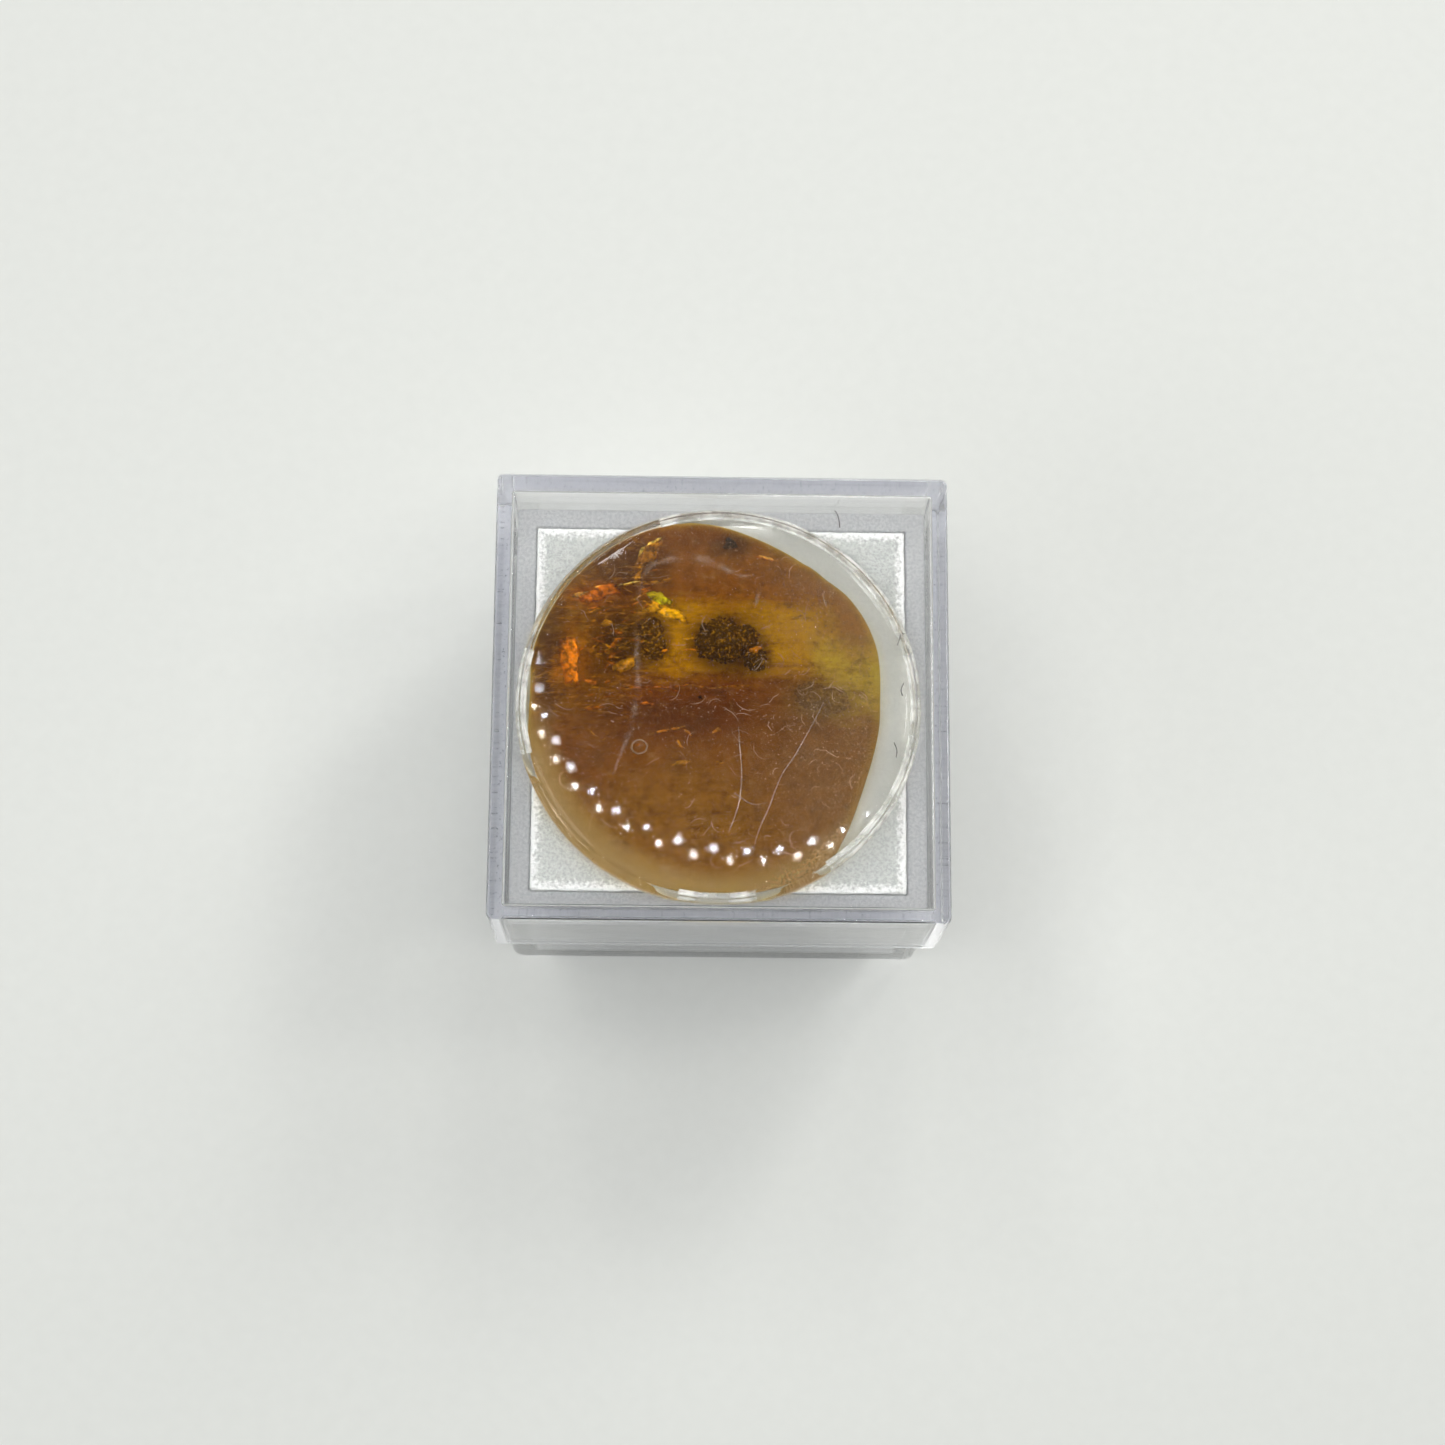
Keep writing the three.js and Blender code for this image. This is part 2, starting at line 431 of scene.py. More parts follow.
@dataclass(frozen=True)
class AmberFinish:
    """Clear golden to red-brown amber, streaked along x, with fine dust over its lower and right parts, a
    painted highlight on its steep edges and a painted lighter band along its thin front rim.
    """

    name: str = "amber"
    ground: Colour = (0.42, 0.165, 0.025)
    patches: tuple[Patch, ...] = (
        Patch(-1.0, -7.5, 8.0, 4.0, (0.6, 0.38, 0.05), 0.85, 1.2),
        Patch(7.0, -3.5, 5.0, 6.0, (0.42, 0.22, 0.06), 0.8, 1.2),
        Patch(2.8, 4.6, 7.6, 2.6, (0.9, 0.66, 0.002), 1.0, 0.9),
        Patch(-2.6, 4.4, 3.2, 2.8, (1.0, 0.7, 0.0), 1.0, 0.9),
        Patch(8.8, 2.2, 2.4, 2.8, (1.0, 0.96, 0.16), 0.9, 1.0),
        Patch(-8.6, 3.4, 3.4, 5.4, (0.5, 0.28, 0.015), 0.85, 1.2),
        Patch(-3.0, -0.8, 5.0, 1.3, (0.24, 0.08, 0.01), 0.8, 1.2),
        Patch(1.5, 8.9, 7.5, 2.0, (0.56, 0.28, 0.04), 0.85, 0.9),
        Patch(9.2, 6.2, 1.6, 2.8, (0.6, 0.34, 0.18), 0.9, 1.0),
        Patch(-6.6, 4.2, 2.1, 1.8, (0.14, 0.08, 0.008), 0.75, 1.2),
        Patch(-6.6, 9.4, 2.8, 1.8, (0.2, 0.09, 0.015), 0.7, 1.0),
        Patch(-11.5, 3.0, 1.3, 4.2, (0.2, 0.1, 0.03), 0.75, 1.0),
        Patch(-9.9, 2.8, 1.0, 1.9, (1.0, 0.5, 0.04), 0.8, 0.9),
        Patch(-8.4, 7.5, 1.7, 0.7, (0.9, 0.34, 0.05), 0.6, 1.0),
    )
    halos: tuple[Patch, ...] = (
        Patch(0.5, 4.1, 2.6, 2.2, (0.36, 0.2, 0.01), 0.7, 0.6),
        Patch(2.3, 3.0, 1.2, 1.2, (0.36, 0.2, 0.01), 0.6, 0.7),
        Patch(-4.4, 4.3, 1.3, 1.9, (0.5, 0.3, 0.015), 0.75, 0.6),
        Patch(6.8, 0.4, 2.6, 1.5, (0.5, 0.34, 0.06), 0.6, 0.8),
        Patch(0.7, 10.9, 1.3, 0.8, (0.16, 0.07, 0.02), 0.7, 1.0),
    )
    streak: Colour = (1.0, 0.55, 0.05)
    # A pale colour, used for random pale clouds and for the painted light along the thin front rim.
    rim: Colour = (1.0, 0.92, 0.55)
    # Painted highlight colour for the amber's steep edge faces.
    edge: Colour = (1.0, 0.8, 0.25)
    cloud: Colour = (0.2, 0.09, 0.02)
    haze: Colour = (0.38, 0.23, 0.11)
    dust: Colour = (0.5, 0.34, 0.2)
    ior: float = 1.03
    absorb: Colour = (0.95, 0.85, 0.0)
    density: float = 400.0
    lamp_tint: Colour = (1.0, 0.9, 0.62)
    swirl_scale: float = 0.35
    band_scale: float = 0.8
    band_stretch: tuple[float, float, float] = (0.35, 1.3, 1.0)
    fine_scale: float = 2.2
    fine_stretch: tuple[float, float, float] = (0.5, 1.6, 1.0)
    cloud_scale: float = 0.9
    grain_scale: float = 6.0
    swirl_drift: float = 4.0
    band_drift: float = 3.0
    fine_drift: Point = (1.6, 1.4)
    halo_drift: float = 1.2
    streak_x: Point = (-2.0, -5.5)
    streak_y: Point = (-3.0, 1.5)
    streak_share: float = 0.75
    # The painted-light band along the front rim: its reach from the axis, its fade towards the back, its
    # share, and its extra murk.
    rim_light_reach: Point = (10.6, 12.6)
    rim_light_y: Point = (1.0, -5.0)
    rim_light_share: float = 0.95
    rim_light_murk: float = 0.32
    edge_highlight_share: float = 0.8
    veil_front: Point = (3.5, -5.0)
    veil_right: Point = (1.0, 10.0)
    veil_back: Point = (6.5, 9.0)
    least_veil: float = 0.02

    def oval(self, x: Channel, y: Channel, patch: Patch) -> Channel:
        """The share of a patch's colour at a place.

        Args:
            x: the place along x.
            y: the place along y.
            patch: the patch.

        Returns:
            The share, up to the patch's strength.
        """
        across = (x - patch.x) / patch.half_x
        along = (y - patch.y) / patch.half_y
        distance = (across * across + along * along) ** 0.5
        return distance.fade(1.0 + patch.soft / 2, 1.0 - patch.soft / 2) * patch.strength

    def material(self, axis_x: float) -> bpy.types.Material:
        """Make the material.

        Args:
            axis_x: where the disc's axis stands along x.

        Returns:
            The amber.
        """
        recipe = Recipe(self.name)
        place = recipe.place()
        true_x, true_y, _ = recipe.axes(place)
        swirl = recipe.mottle(place, self.swirl_scale, 3.0)
        bands = recipe.mottle(recipe.stretched(place, self.band_stretch), self.band_scale, 4.0, 0.65)
        fine = recipe.mottle(recipe.stretched(place, self.fine_stretch), self.fine_scale, 3.0, 0.6)
        drift_x, drift_y = self.fine_drift
        x = true_x - axis_x + (swirl - 0.5) * self.swirl_drift + (fine - 0.5) * drift_x
        y = true_y + (bands - 0.5) * self.band_drift + (fine - 0.5) * drift_y
        colour: object = self.ground
        for patch in self.patches:
            colour = recipe.blend(self.oval(x, y, patch), colour, patch.colour)
        near_x = true_x - axis_x + (fine - 0.5) * self.halo_drift
        near_y = true_y + (fine - 0.5) * self.halo_drift
        for halo in self.halos:
            colour = recipe.blend(self.oval(near_x, near_y, halo), colour, halo.colour)
        left = x.fade(*self.streak_x) * y.fade(*self.streak_y)
        colour = recipe.blend(fine.fade(0.54, 0.68) * left * self.streak_share, colour, self.streak)
        clouds = recipe.mottle(place, self.cloud_scale, 4.0, 0.7)
        shadows = bands.fade(0.5, 0.3) * 0.35 + fine.fade(0.48, 0.3) * 0.3 + clouds.fade(0.5, 0.3) * 0.55
        colour = recipe.blend(shadows, colour, self.cloud)
        # Random pale clouds in the rim colour.
        colour = recipe.blend(clouds.fade(0.55, 0.75) * 0.3, colour, self.rim)
        # Painted light: a paler band along the front rim, standing in for light through the thin edge.
        out = (true_x * true_x + true_y * true_y) ** 0.5
        rim = out.fade(*self.rim_light_reach) * true_y.fade(*self.rim_light_y)
        colour = recipe.blend(rim * self.rim_light_share, colour, self.rim)
        # Painted highlight: steep faces round the amber's edge turn bright yellow.
        upright = recipe.axes(recipe.node("ShaderNodeNewGeometry").outputs["Normal"])[2]
        edge_highlight_mask = (upright * upright).fade(0.8, 0.2)
        colour = recipe.blend(edge_highlight_mask * self.edge_highlight_share, colour, self.edge)
        clear = recipe.surface({
            "Base Color": colour,
            "Roughness": 0.05 + swirl * 0.06,
            "IOR": self.ior,
            "Transmission Weight": 1.0,
        })
        grains = recipe.mottle(place, self.grain_scale, 3.0, 0.6)
        murky = recipe.surface({
            "Base Color": recipe.blend(grains.fade(0.35, 0.7), self.haze, self.dust),
            "Roughness": 0.5 + grains * 0.3,
            "Specular IOR Level": 0.0,
        })
        front, right, back = y.fade(*self.veil_front), x.fade(*self.veil_right), y.fade(*self.veil_back)
        veil = (front * 0.1 + right * 0.2 + back * 0.06) * (0.5 + swirl)
        # The painted-light rim band also takes extra murk.
        share = (veil + rim * self.rim_light_murk) * (0.85 + grains * 0.3) + self.least_veil
        recipe.absorb(self.absorb, self.density)
        return recipe.finish(recipe.mix(share, clear, murky), self.lamp_tint)


@dataclass(frozen=True)
class CrumbFinish:
    """Dull dark crumbs with a few golden grains."""

    name: str
    dark: Colour
    pale: Colour
    grain_depth: float = 0.1
    grain_scale: float = 4.5

    def material(self) -> bpy.types.Material:
        """Make the material.

        Returns:
            The material.
        """
        recipe = Recipe(self.name)
        place = recipe.place()
        grain = recipe.mottle(place, self.grain_scale, 4.0, 0.75)
        glint = grain.fade(0.52, 0.66)
        shader = recipe.surface({
            "Base Color": recipe.blend(glint, self.dark, self.pale),
            "Roughness": 0.85 - glint * 0.3,
            "Normal": recipe.relief(grain, self.grain_depth, 0.7),
        })
        return recipe.finish(shader)


class Spangle(Enum):
    """Colours in which the flat cracks inside the amber glint."""

    GOLD = (1.0, 0.68, 0.08)
    ORANGE = (1.0, 0.48, 0.05)
    GREEN = (0.8, 1.0, 0.02)


@dataclass(frozen=True)
class SpangleFinish:
    """The shine of a flat crack in the amber, with a painted glow in its brighter veins."""

    hue: Spangle
    dimmed: float = 0.45
    metal: float = 0.4
    painted_glow: float = 0.12
    vein_scale: float = 2.5
    most_alpha: float = 0.9

    def material(self) -> bpy.types.Material:
        """Make the material.

        Returns:
            The material.
        """
        recipe = Recipe(f"spangle_{self.hue.name.lower()}")
        place = recipe.place()
        veins = recipe.mottle(place, self.vein_scale, 4.0, 0.7)
        dim = tuple(self.dimmed * part for part in self.hue.value)
        shader = recipe.surface({
            "Base Color": recipe.blend(veins.fade(0.35, 0.65), dim, self.hue.value),
            "Roughness": 0.2 + veins * 0.3,
            "Metallic": self.metal,
            "Alpha": veins.fade(0.2, 0.6) * self.most_alpha,
            # Painted light: the brighter veins glow in the crack's colour.
            "Emission Color": recipe.blend(veins.fade(0.4, 0.7), (0.0, 0.0, 0.0), self.hue.value),
            "Emission Strength": self.painted_glow,
        })
        return recipe.finish(shader)


@dataclass(frozen=True)
class ThreadFinish:
    """Fine dust fibres, hairs and pale creases."""

    name: str
    root: Colour
    tip: Colour
    alpha: float = 1.0
    broken: float = 0.0
    vary_scale: float = 0.8

    def material(self) -> bpy.types.Material:
        """Make the material, fainter in places where the line is broken.

        Returns:
            The material.
        """
        recipe = Recipe(self.name)
        vary = recipe.mottle(recipe.place(), self.vary_scale, 3.0)
        shader = recipe.surface({
            "Base Color": recipe.blend(vary.fade(0.35, 0.65), self.root, self.tip),
            "Roughness": 0.45 + vary * 0.3,
            "Alpha": self.alpha * (1 - self.broken * vary.fade(0.6, 0.4)),
        })
        return recipe.finish(shader)


def link_piece(name: str, mesh: bpy.types.Mesh,
               materials: Sequence[bpy.types.Material]) -> bpy.types.Object:
    """Put a mesh in the scene as a piece.

    Args:
        name: the piece's name.
        mesh: its mesh, in metres.
        materials: its material slots.

    Returns:
        The piece.
    """
    for material in materials:
        mesh.materials.append(material)
    mesh.polygons.foreach_set("use_smooth", [True] * len(mesh.polygons))
    piece = bpy.data.objects.new(name, mesh)
    bpy.context.scene.collection.objects.link(piece)
    return piece


def settle(piece: bpy.types.Object, slot: str, *nodes: str) -> None:
    """Fix a piece to the box and report it.

    Args:
        piece: the piece.
        slot: not used.
        nodes: the solids that it stands for.
    """
    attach(piece, ROOT)
    if nodes:
        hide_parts(*nodes)
    LOG.info("%s: %d faces", piece.name, len(piece.data.polygons))


def shell_of(work: bmesh.types.BMesh) -> Shell:
    """Turn a finished working mesh into a shell, and free it.

    Args:
        work: the working mesh, in millimetres.

    Returns:
        The shell.
    """
    points = [vertex.co.copy() for vertex in work.verts]
    faces = [[corner.index for corner in face.verts] for face in work.faces]
    work.free()
    return points, faces


class Shells:
    """Closed shells gathered into one mesh."""

    def __init__(self) -> None:
        """Start with none."""
        self.points: list[Vector] = []
        self.faces: list[list[int]] = []

    def add(self, shell: Shell) -> None:
        """Add one shell.

        Args:
            shell: the shell, in millimetres.
        """
        start = len(self.points)
        self.points.extend(shell[0])
        self.faces.extend([start + corner for corner in face] for face in shell[1])

    def mesh(self, name: str) -> bpy.types.Mesh:
        """The shells as one mesh, with their faces turned outward.

        Args:
            name: the mesh's name.

        Returns:
            The mesh, in metres.
        """
        mesh = bpy.data.meshes.new(name)
        mesh.from_pydata([point * MM for point in self.points], [], self.faces)
        work = bmesh.new()
        work.from_mesh(mesh)
        bmesh.ops.recalc_face_normals(work, faces=work.faces)
        work.to_mesh(mesh)
        work.free()
        return mesh


def bridge(rings: Sequence[Ring], caps: bool = True) -> Shell:
    """A shell through rings of equal counts.

    Args:
        rings: the rings in order.
        caps: whether a face closes each end.

    Returns:
        The shell.
    """
    count = len(rings[0])
    points = [point for ring in rings for point in ring]
    faces = []
    for row in range(len(rings) - 1):
        for step in range(count):
            ahead = (step + 1) % count
            low, high = row * count, (row + 1) * count
            faces.append([low + step, high + step, high + ahead, low + ahead])
    if caps:
        last = (len(rings) - 1) * count
        faces.append(list(range(count)))
        faces.append([last + step for step in reversed(range(count))])
    return points, faces


def square_ring(half: float, corner: float, height: float, steps: int = 6) -> Ring:
    """Points round a level square with round corners.

    Args:
        half: half its width.
        corner: its corners' radius.
        height: its height.
        steps: steps round one corner.

    Returns:
        The points, counter-clockwise.
    """
    inner = half - corner
    ring = []
    for quarter, (sign_x, sign_y) in enumerate(((1, 1), (-1, 1), (-1, -1), (1, -1))):
        for step in range(steps + 1):
            angle = (quarter + step / steps) * math.pi / 2
            x = sign_x * inner + corner * math.cos(angle)
            y = sign_y * inner + corner * math.sin(angle)
            ring.append(Vector((x, y, height)))
    return ring


def arc(middle: Point, radius: float, start: float, end: float, steps: int = 4) -> list[Point]:
    """Points along an arc of a section.

    Args:
        middle: the arc's middle, out from the axis and up.
        radius: its radius.
        start: its first angle, in degrees from outward towards up.
        end: its last angle.
        steps: steps along it.

    Returns:
        The points.
    """
    points = []
    for step in range(steps + 1):
        angle = math.radians(start + (end - start) * step / steps)
        points.append((middle[0] + radius * math.cos(angle), middle[1] + radius * math.sin(angle)))
    return points


def tube(path: Sequence[Vector], radii: Sequence[float], flat: float = 1.0, sides: int = 6) -> Shell:
    """A closed tube along a path that lies nearly level.

    Args:
        path: its middle line.
        radii: its radius at each point.
        flat: its height over its width.
        sides: points round it.

    Returns:
        The shell.
    """
    rings = []
    for index, point in enumerate(path):
        ahead = path[min(index + 1, len(path) - 1)] - path[max(index - 1, 0)]
        side = ahead.cross(Vector((0, 0, 1))).normalized()
        up = side.cross(ahead).normalized() * flat
        turns = [2 * math.pi * step / sides for step in range(sides)]
        rings.append([point + radii[index] * (math.cos(a) * side + math.sin(a) * up) for a in turns])
    return bridge(rings)


def smooth_path(points: Sequence[Point], steps: int) -> list[Point]:
    """A smooth line through a few points.

    Args:
        points: the points.
        steps: steps between two of them.

    Returns:
        Points along the line.
    """
    ends = [points[0], *points, points[-1]]
    line = []
    for index in range(1, len(ends) - 2):
        a, b, c, d = (Vector(point) for point in ends[index - 1:index + 3])
        for step in range(steps):
            t = step / steps
            bent = 0.5 * (2 * b + (c - a) * t + (2 * a - 5 * b + 4 * c - d) * t * t
                          + (3 * b - a - 3 * c + d) * t ** 3)
            line.append((bent.x, bent.y))
    line.append(tuple(points[-1]))
    return line


@dataclass
class GemBox:
    """The clear lid and the clear base, both moulded with a thin even wall."""

    lid_wall: float = 0.95
    lid_plate: float = 1.0
    lid_edge: float = 0.2
    base_floor: float = 1.3
    collar_half: float = 13.8
    cavity_half: float = 12.5
    foot_edge: float = 0.45
    rim_round: float = 0.15
    corner: float = 0.4
    foot_corner: float = 0.8
    least_corner: float = 0.2
    margin: float = 0.3
    rim_gap: float = 0.05
    upright: float = 0.5
    plastic: ClearFinish = ClearFinish(
        "clear_plastic", (0.98, 0.98, 0.987), 0.05, 1.5, (0.88, 0.885, 0.92), 32.0, 0.004)
    frosted: GroundFinish = GroundFinish("frosted_plastic", (0.62, 0.63, 0.65), (0.88, 0.885, 0.9), 0.4)
    hazed: GroundFinish = GroundFinish(
        "hazed_plastic", (0.8, 0.81, 0.82), (0.92, 0.925, 0.93), 0.3, 1.5, 0.55)

    def loft(self, profile: Sequence[Point], corner: float) -> Shell:
        """A square shell from a section.

        Args:
            profile: the section's half widths and heights.
            corner: the widest ring's corner radius, which the others follow.

        Returns:
            The shell.
        """
        widest = max(half for half, _ in profile)
        rings = []
        for half, height in profile:
            rings.append(square_ring(half, max(corner - (widest - half), self.least_corner), height))
        return bridge(rings)

    def lid(self) -> Shell:
        """The lid: a plate and a skirt with eased edges.

        Returns:
            The shell.
        """
        low, high = (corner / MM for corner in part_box("box_lid"))
        half, rim, top = high.x, low.z, high.z
        inner, under = half - self.lid_wall, top - self.lid_plate
        edge, ease, gap = self.lid_edge, self.rim_round, self.margin
        profile = [(half - edge - gap, top), *arc((half - edge, top - edge), edge, 90, 0)]
        profile += [(half, top - edge - gap), (half, rim + ease + gap)]
        profile += arc((half - ease, rim + ease), ease, 0, -90)
        profile += arc((inner + ease, rim + ease), ease, 270, 180)
        profile += [(inner, rim + ease + gap), (inner, under - edge - gap)]
        profile += [*arc((inner - edge, under - edge), edge, 0, 90), (inner - edge - gap, under)]
        return self.loft(profile, self.corner)

    def base(self) -> Shell:
        """The base: a foot, a shoulder under the lid's rim, a collar and the cavity.

        Returns:
            The shell.
        """
        low, high = (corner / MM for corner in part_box("box_base"))
        foot, top = high.x, high.z
        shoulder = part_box("box_lid")[0].z / MM - self.rim_gap
        edge, ease, gap = self.foot_edge, self.rim_round, self.margin
        profile = [(foot - edge - gap, low.z), *arc((foot - edge, low.z + edge), edge, -90, 0)]
        profile += [(foot, low.z + edge + gap), (foot, shoulder - ease - gap)]
        profile += [*arc((foot - ease, shoulder - ease), ease, 0, 90), (self.collar_half, shoulder)]
        profile += [(self.collar_half, shoulder + gap), (self.collar_half, top - ease - gap)]
        profile += arc((self.collar_half - ease, top - ease), ease, 0, 90)
        profile += arc((self.cavity_half + ease, top - ease), ease, 90, 180)
        profile += [(self.cavity_half, top - ease - gap), (self.cavity_half, self.base_floor + edge + gap)]
        profile += arc((self.cavity_half - edge, self.base_floor + edge), edge, 0, -90)
        profile += [(self.cavity_half - edge - gap, self.base_floor)]
        return self.loft(profile, self.foot_corner)

    def build(self) -> None:
        """Make both pieces, each of clear plastic with some matt faces."""
        plastic = self.plastic.material()
        parts = (("box_lid", self.lid(), self.hazed), ("box_base", self.base(), self.frosted))
        for name, shell, matt in parts:
            shells = Shells()
            shells.add(shell)
            piece = link_piece(f"clear_{name}", shells.mesh(name), [plastic, matt.material()])
            low, high = (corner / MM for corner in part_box(name))
            if name == "box_base":
                self.frost(piece, self.cavity_half + self.rim_round, low.z, high.z - self.rim_round)
            else:
                self.frost(piece, 0.0, low.z + self.rim_round, high.z)
            settle(piece, "clear_plastic", name)

    def frost(self, piece: bpy.types.Object, reach: float, below: float, above: float) -> None:
        """Give the matt finish to a piece's inner walls and to its rim.

        Args:
            piece: the lid or the base.
            reach: how far out its inner walls may stand, in millimetres.
            below: faces under this height are matt.
            above: faces over this height are matt.
        """
        for face in piece.data.polygons:
            middle = face.center / MM
            inward = max(abs(middle.x), abs(middle.y)) < reach and abs(face.normal.z) < self.upright
            face.material_index = int(inward or middle.z < below or middle.z > above)


@dataclass
class FoamPad:
    """The white pad that fills the base."""

    cuts: int = 90
    spread: float = 0.11
    edge: float = 0.07
    grain: float = 0.05
    ragged: float = 0.06
    grain_scale: float = 2.4
    ragged_scale: float = 1.1
    sunk: float = 0.6
    finish: FoamFinish = FoamFinish()

    def build(self) -> None:
        """Make the pad: a block with soft edges, an uneven outline and a grainy skin."""
        low, high = (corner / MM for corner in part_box("foam_pad"))
        middle = (low + high) / 2
        half = (high - low) / 2 + Vector((self.spread, self.spread, 0))
        inner = half - Vector((self.edge,) * 3)
        work = bmesh.new()
        bmesh.ops.create_cube(work, size=2.0)
        bmesh.ops.subdivide_edges(work, edges=work.edges[:], cuts=self.cuts, use_grid_fill=True)
        for vertex in work.verts:
            point = Vector(part * size for part, size in zip(vertex.co, half))
            core = Vector(max(-size, min(size, part)) for part, size in zip(point, inner))
            out = (point - core).normalized()
            wave = noise.noise(point * self.ragged_scale) * self.ragged * out.xy.length
            bump = (noise.noise(point * self.grain_scale) - self.sunk) * self.grain
            vertex.co = (middle + core + out * (self.edge + bump + min(wave, 0.0))) * MM
        mesh = bpy.data.meshes.new("foam_pad")
        work.to_mesh(mesh)
        work.free()
        piece = link_piece("white_foam_pad", mesh, [self.finish.material()])
        settle(piece, "white_foam", "foam_pad")


@dataclass
class Specimen:
    """The domed disc of clear resin and the amber in it. Heights count from the disc's underside."""

    dome_rise: float = 1.8
    edge_round: float = 0.4
    lip: float = 0.28
    lip_rise: float = 0.2
    groove: float = 0.16
    wobble: float = 0.06
    disc_steps: int = 160
    dome_steps: int = 24
    cover: float = 0.16
    amber_low: float = 0.12
    amber_swell: float = 0.07
    amber_turns: int = 180
    amber_rings: int = 34
    edge: tuple[Point, ...] = (
        (90, 12.3), (69, 11.4), (43, 11.35), (22, 11.2), (0, 10.65), (-15, 10.7), (-37, 11.4), (-49, 12.3),
        (-62, 13.2), (-76, 13.0), (-90, 12.5), (-105, 13.0), (-122, 13.3), (-145, 13.3), (-160, 13.1),
        (-175, 12.5), (-188, 12.5), (-200, 13.0), (-220, 13.2), (-242, 13.2), (-257, 12.7),
    )
    resin: ClearFinish = ClearFinish(
        "clear_resin", (0.97, 0.97, 0.97), 0.035, 1.5, (0.9, 0.9, 0.85), 15.0, 0.003)
    ground: GroundFinish = GroundFinish("ground_resin", (0.82, 0.82, 0.78), (0.92, 0.92, 0.88), 0.55)
    # The lip's slopes get a painted white highlight.
    frosted: ClearFinish = ClearFinish(
        "lip_painted_highlight", (0.97, 0.97, 0.97), 0.05, 1.5, (0.9, 0.9, 0.85), 15.0, 0.003, 0.5)
    lip_clear: float = 0.6
    lip_slopes: Point = (0.15, 0.96)
    level: float = 0.9
    hub: float = 0.001
    amber_hub: float = 0.004
    amber_bluntness: int = 14
    swell_scale: float = 0.3
    amber: AmberFinish = AmberFinish()
    axis: Vector = field(init=False)
    radius: float = field(init=False)
    thickness: float = field(init=False)
    reach: Callable[[float], float] = field(init=False)

    def __post_init__(self) -> None:
        """Take the disc's place and size from its solid, and draw the amber's edge."""
        low, high = (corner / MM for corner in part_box("resin_disc"))
        self.axis = Vector(((low.x + high.x) / 2, (low.y + high.y) / 2, low.z))
        self.radius = (high.x - low.x) / 2
        self.thickness = high.z - low.z
        self.reach = self.amber_edge()

    def dome(self, radius: float) -> float:
        """The dome's height at a distance from the axis."""
        sphere = (self.radius ** 2 + self.dome_rise ** 2) / (2 * self.dome_rise)
        return self.thickness - sphere + math.sqrt(sphere ** 2 - radius ** 2)

    def on_dome(self, x: float, y: float, above: float = 0.0) -> Vector:
        """A point on the dome, given from its axis, raised by a distance."""
        return self.axis + Vector((x, y, self.dome(math.hypot(x, y)) + above))

    def disc_profile(self) -> list[Point]:
        """The disc's section, from the axis below to the axis on top, with a small round lip at its rim.

        Returns:
            Distances from the axis and heights.
        """
        lip, foot = self.lip, self.edge_round
        shore = self.radius - 2 * lip - self.groove
        crest = self.dome(self.radius) + self.lip_rise - lip
        profile = [(self.radius * part, 0.0) for part in (0.0, 0.5, 0.9, 0.945)]
        profile += arc((self.radius - foot, foot), foot, -90, 0, 6)
        profile += [(self.radius, crest - lip), *arc((self.radius - lip, crest), lip, 0, 160, 8)]
        profile += [(shore, self.dome(shore) - self.groove / 2)]
        profile += [(shore - self.groove, self.dome(shore - self.groove))]
        start = shore - 2 * self.groove
        for step in range(self.dome_steps + 1):
            radius = start * (1 - step / self.dome_steps)
            profile.append((radius, self.dome(radius)))
        return profile

    def build_disc(self) -> None:
        """Make the resin disc, slightly out of round as cast, with a ground underside."""
        rings = []
        for radius, height in self.disc_profile():
            ring = []
            for step in range(self.disc_steps):
                angle = 2 * math.pi * step / self.disc_steps
                turn = Vector((math.cos(angle), math.sin(angle), 0))
                shrink = self.wobble * (0.5 + 0.5 * noise.noise(2 * turn)) * radius / self.radius
                reach = max(radius, self.hub) - shrink
                ring.append(self.axis + turn * reach + Vector((0, 0, height)))
            rings.append(ring)
        shells = Shells()
        shells.add(bridge(rings))
        finishes = [self.resin.material(), self.ground.material(), self.frosted.material()]
        piece = link_piece("clear_resin_disc", shells.mesh("resin_disc"), finishes)
        for face in piece.data.polygons:
            if face.normal.z < -self.level:
                face.material_index = 1
            # Lip slopes take the painted highlight finish.
            elif self.on_lip(face.center / MM - self.axis, face.normal):
                face.material_index = 2
        settle(piece, "clear_resin", "resin_disc")

    def on_lip(self, spot: Vector, normal: Vector) -> bool:
        """Whether a face is on a slope of the lip, away from the amber's edge, where a white highlight is
        painted.

        Args:
            spot: the face's middle, from the disc's axis.
            normal: the way that it faces.

        Returns:
            True for a face that takes the painted highlight.
        """
        angle = math.atan2(spot.y, spot.x)
        steepest, flattest = self.lip_slopes
        outward = spot.xy.length > self.radius - 2 * self.lip - self.groove
        sloping = steepest < normal.z < flattest and spot.z > self.lip
        bare = self.reach(angle) < self.radius - self.lip_clear
        return outward and sloping and bare

    def amber_edge(self) -> Callable[[float], float]:
        """The amber's edge.

        Returns:
            A function from an angle, in radians, to the edge's distance from the axis.
        """
        corners = [(r * math.cos(math.radians(a)), r * math.sin(math.radians(a))) for a, r in self.edge]
        line = np.array(smooth_path([*corners[-2:], *corners, *corners[:3]], 12))
        angles = np.arctan2(line[:, 1], line[:, 0])
        lengths = np.minimum(np.hypot(line[:, 0], line[:, 1]), self.radius - self.cover)
        order = np.argsort(angles)
        return lambda angle: float(np.interp(angle, angles[order], lengths[order], period=2 * math.pi))

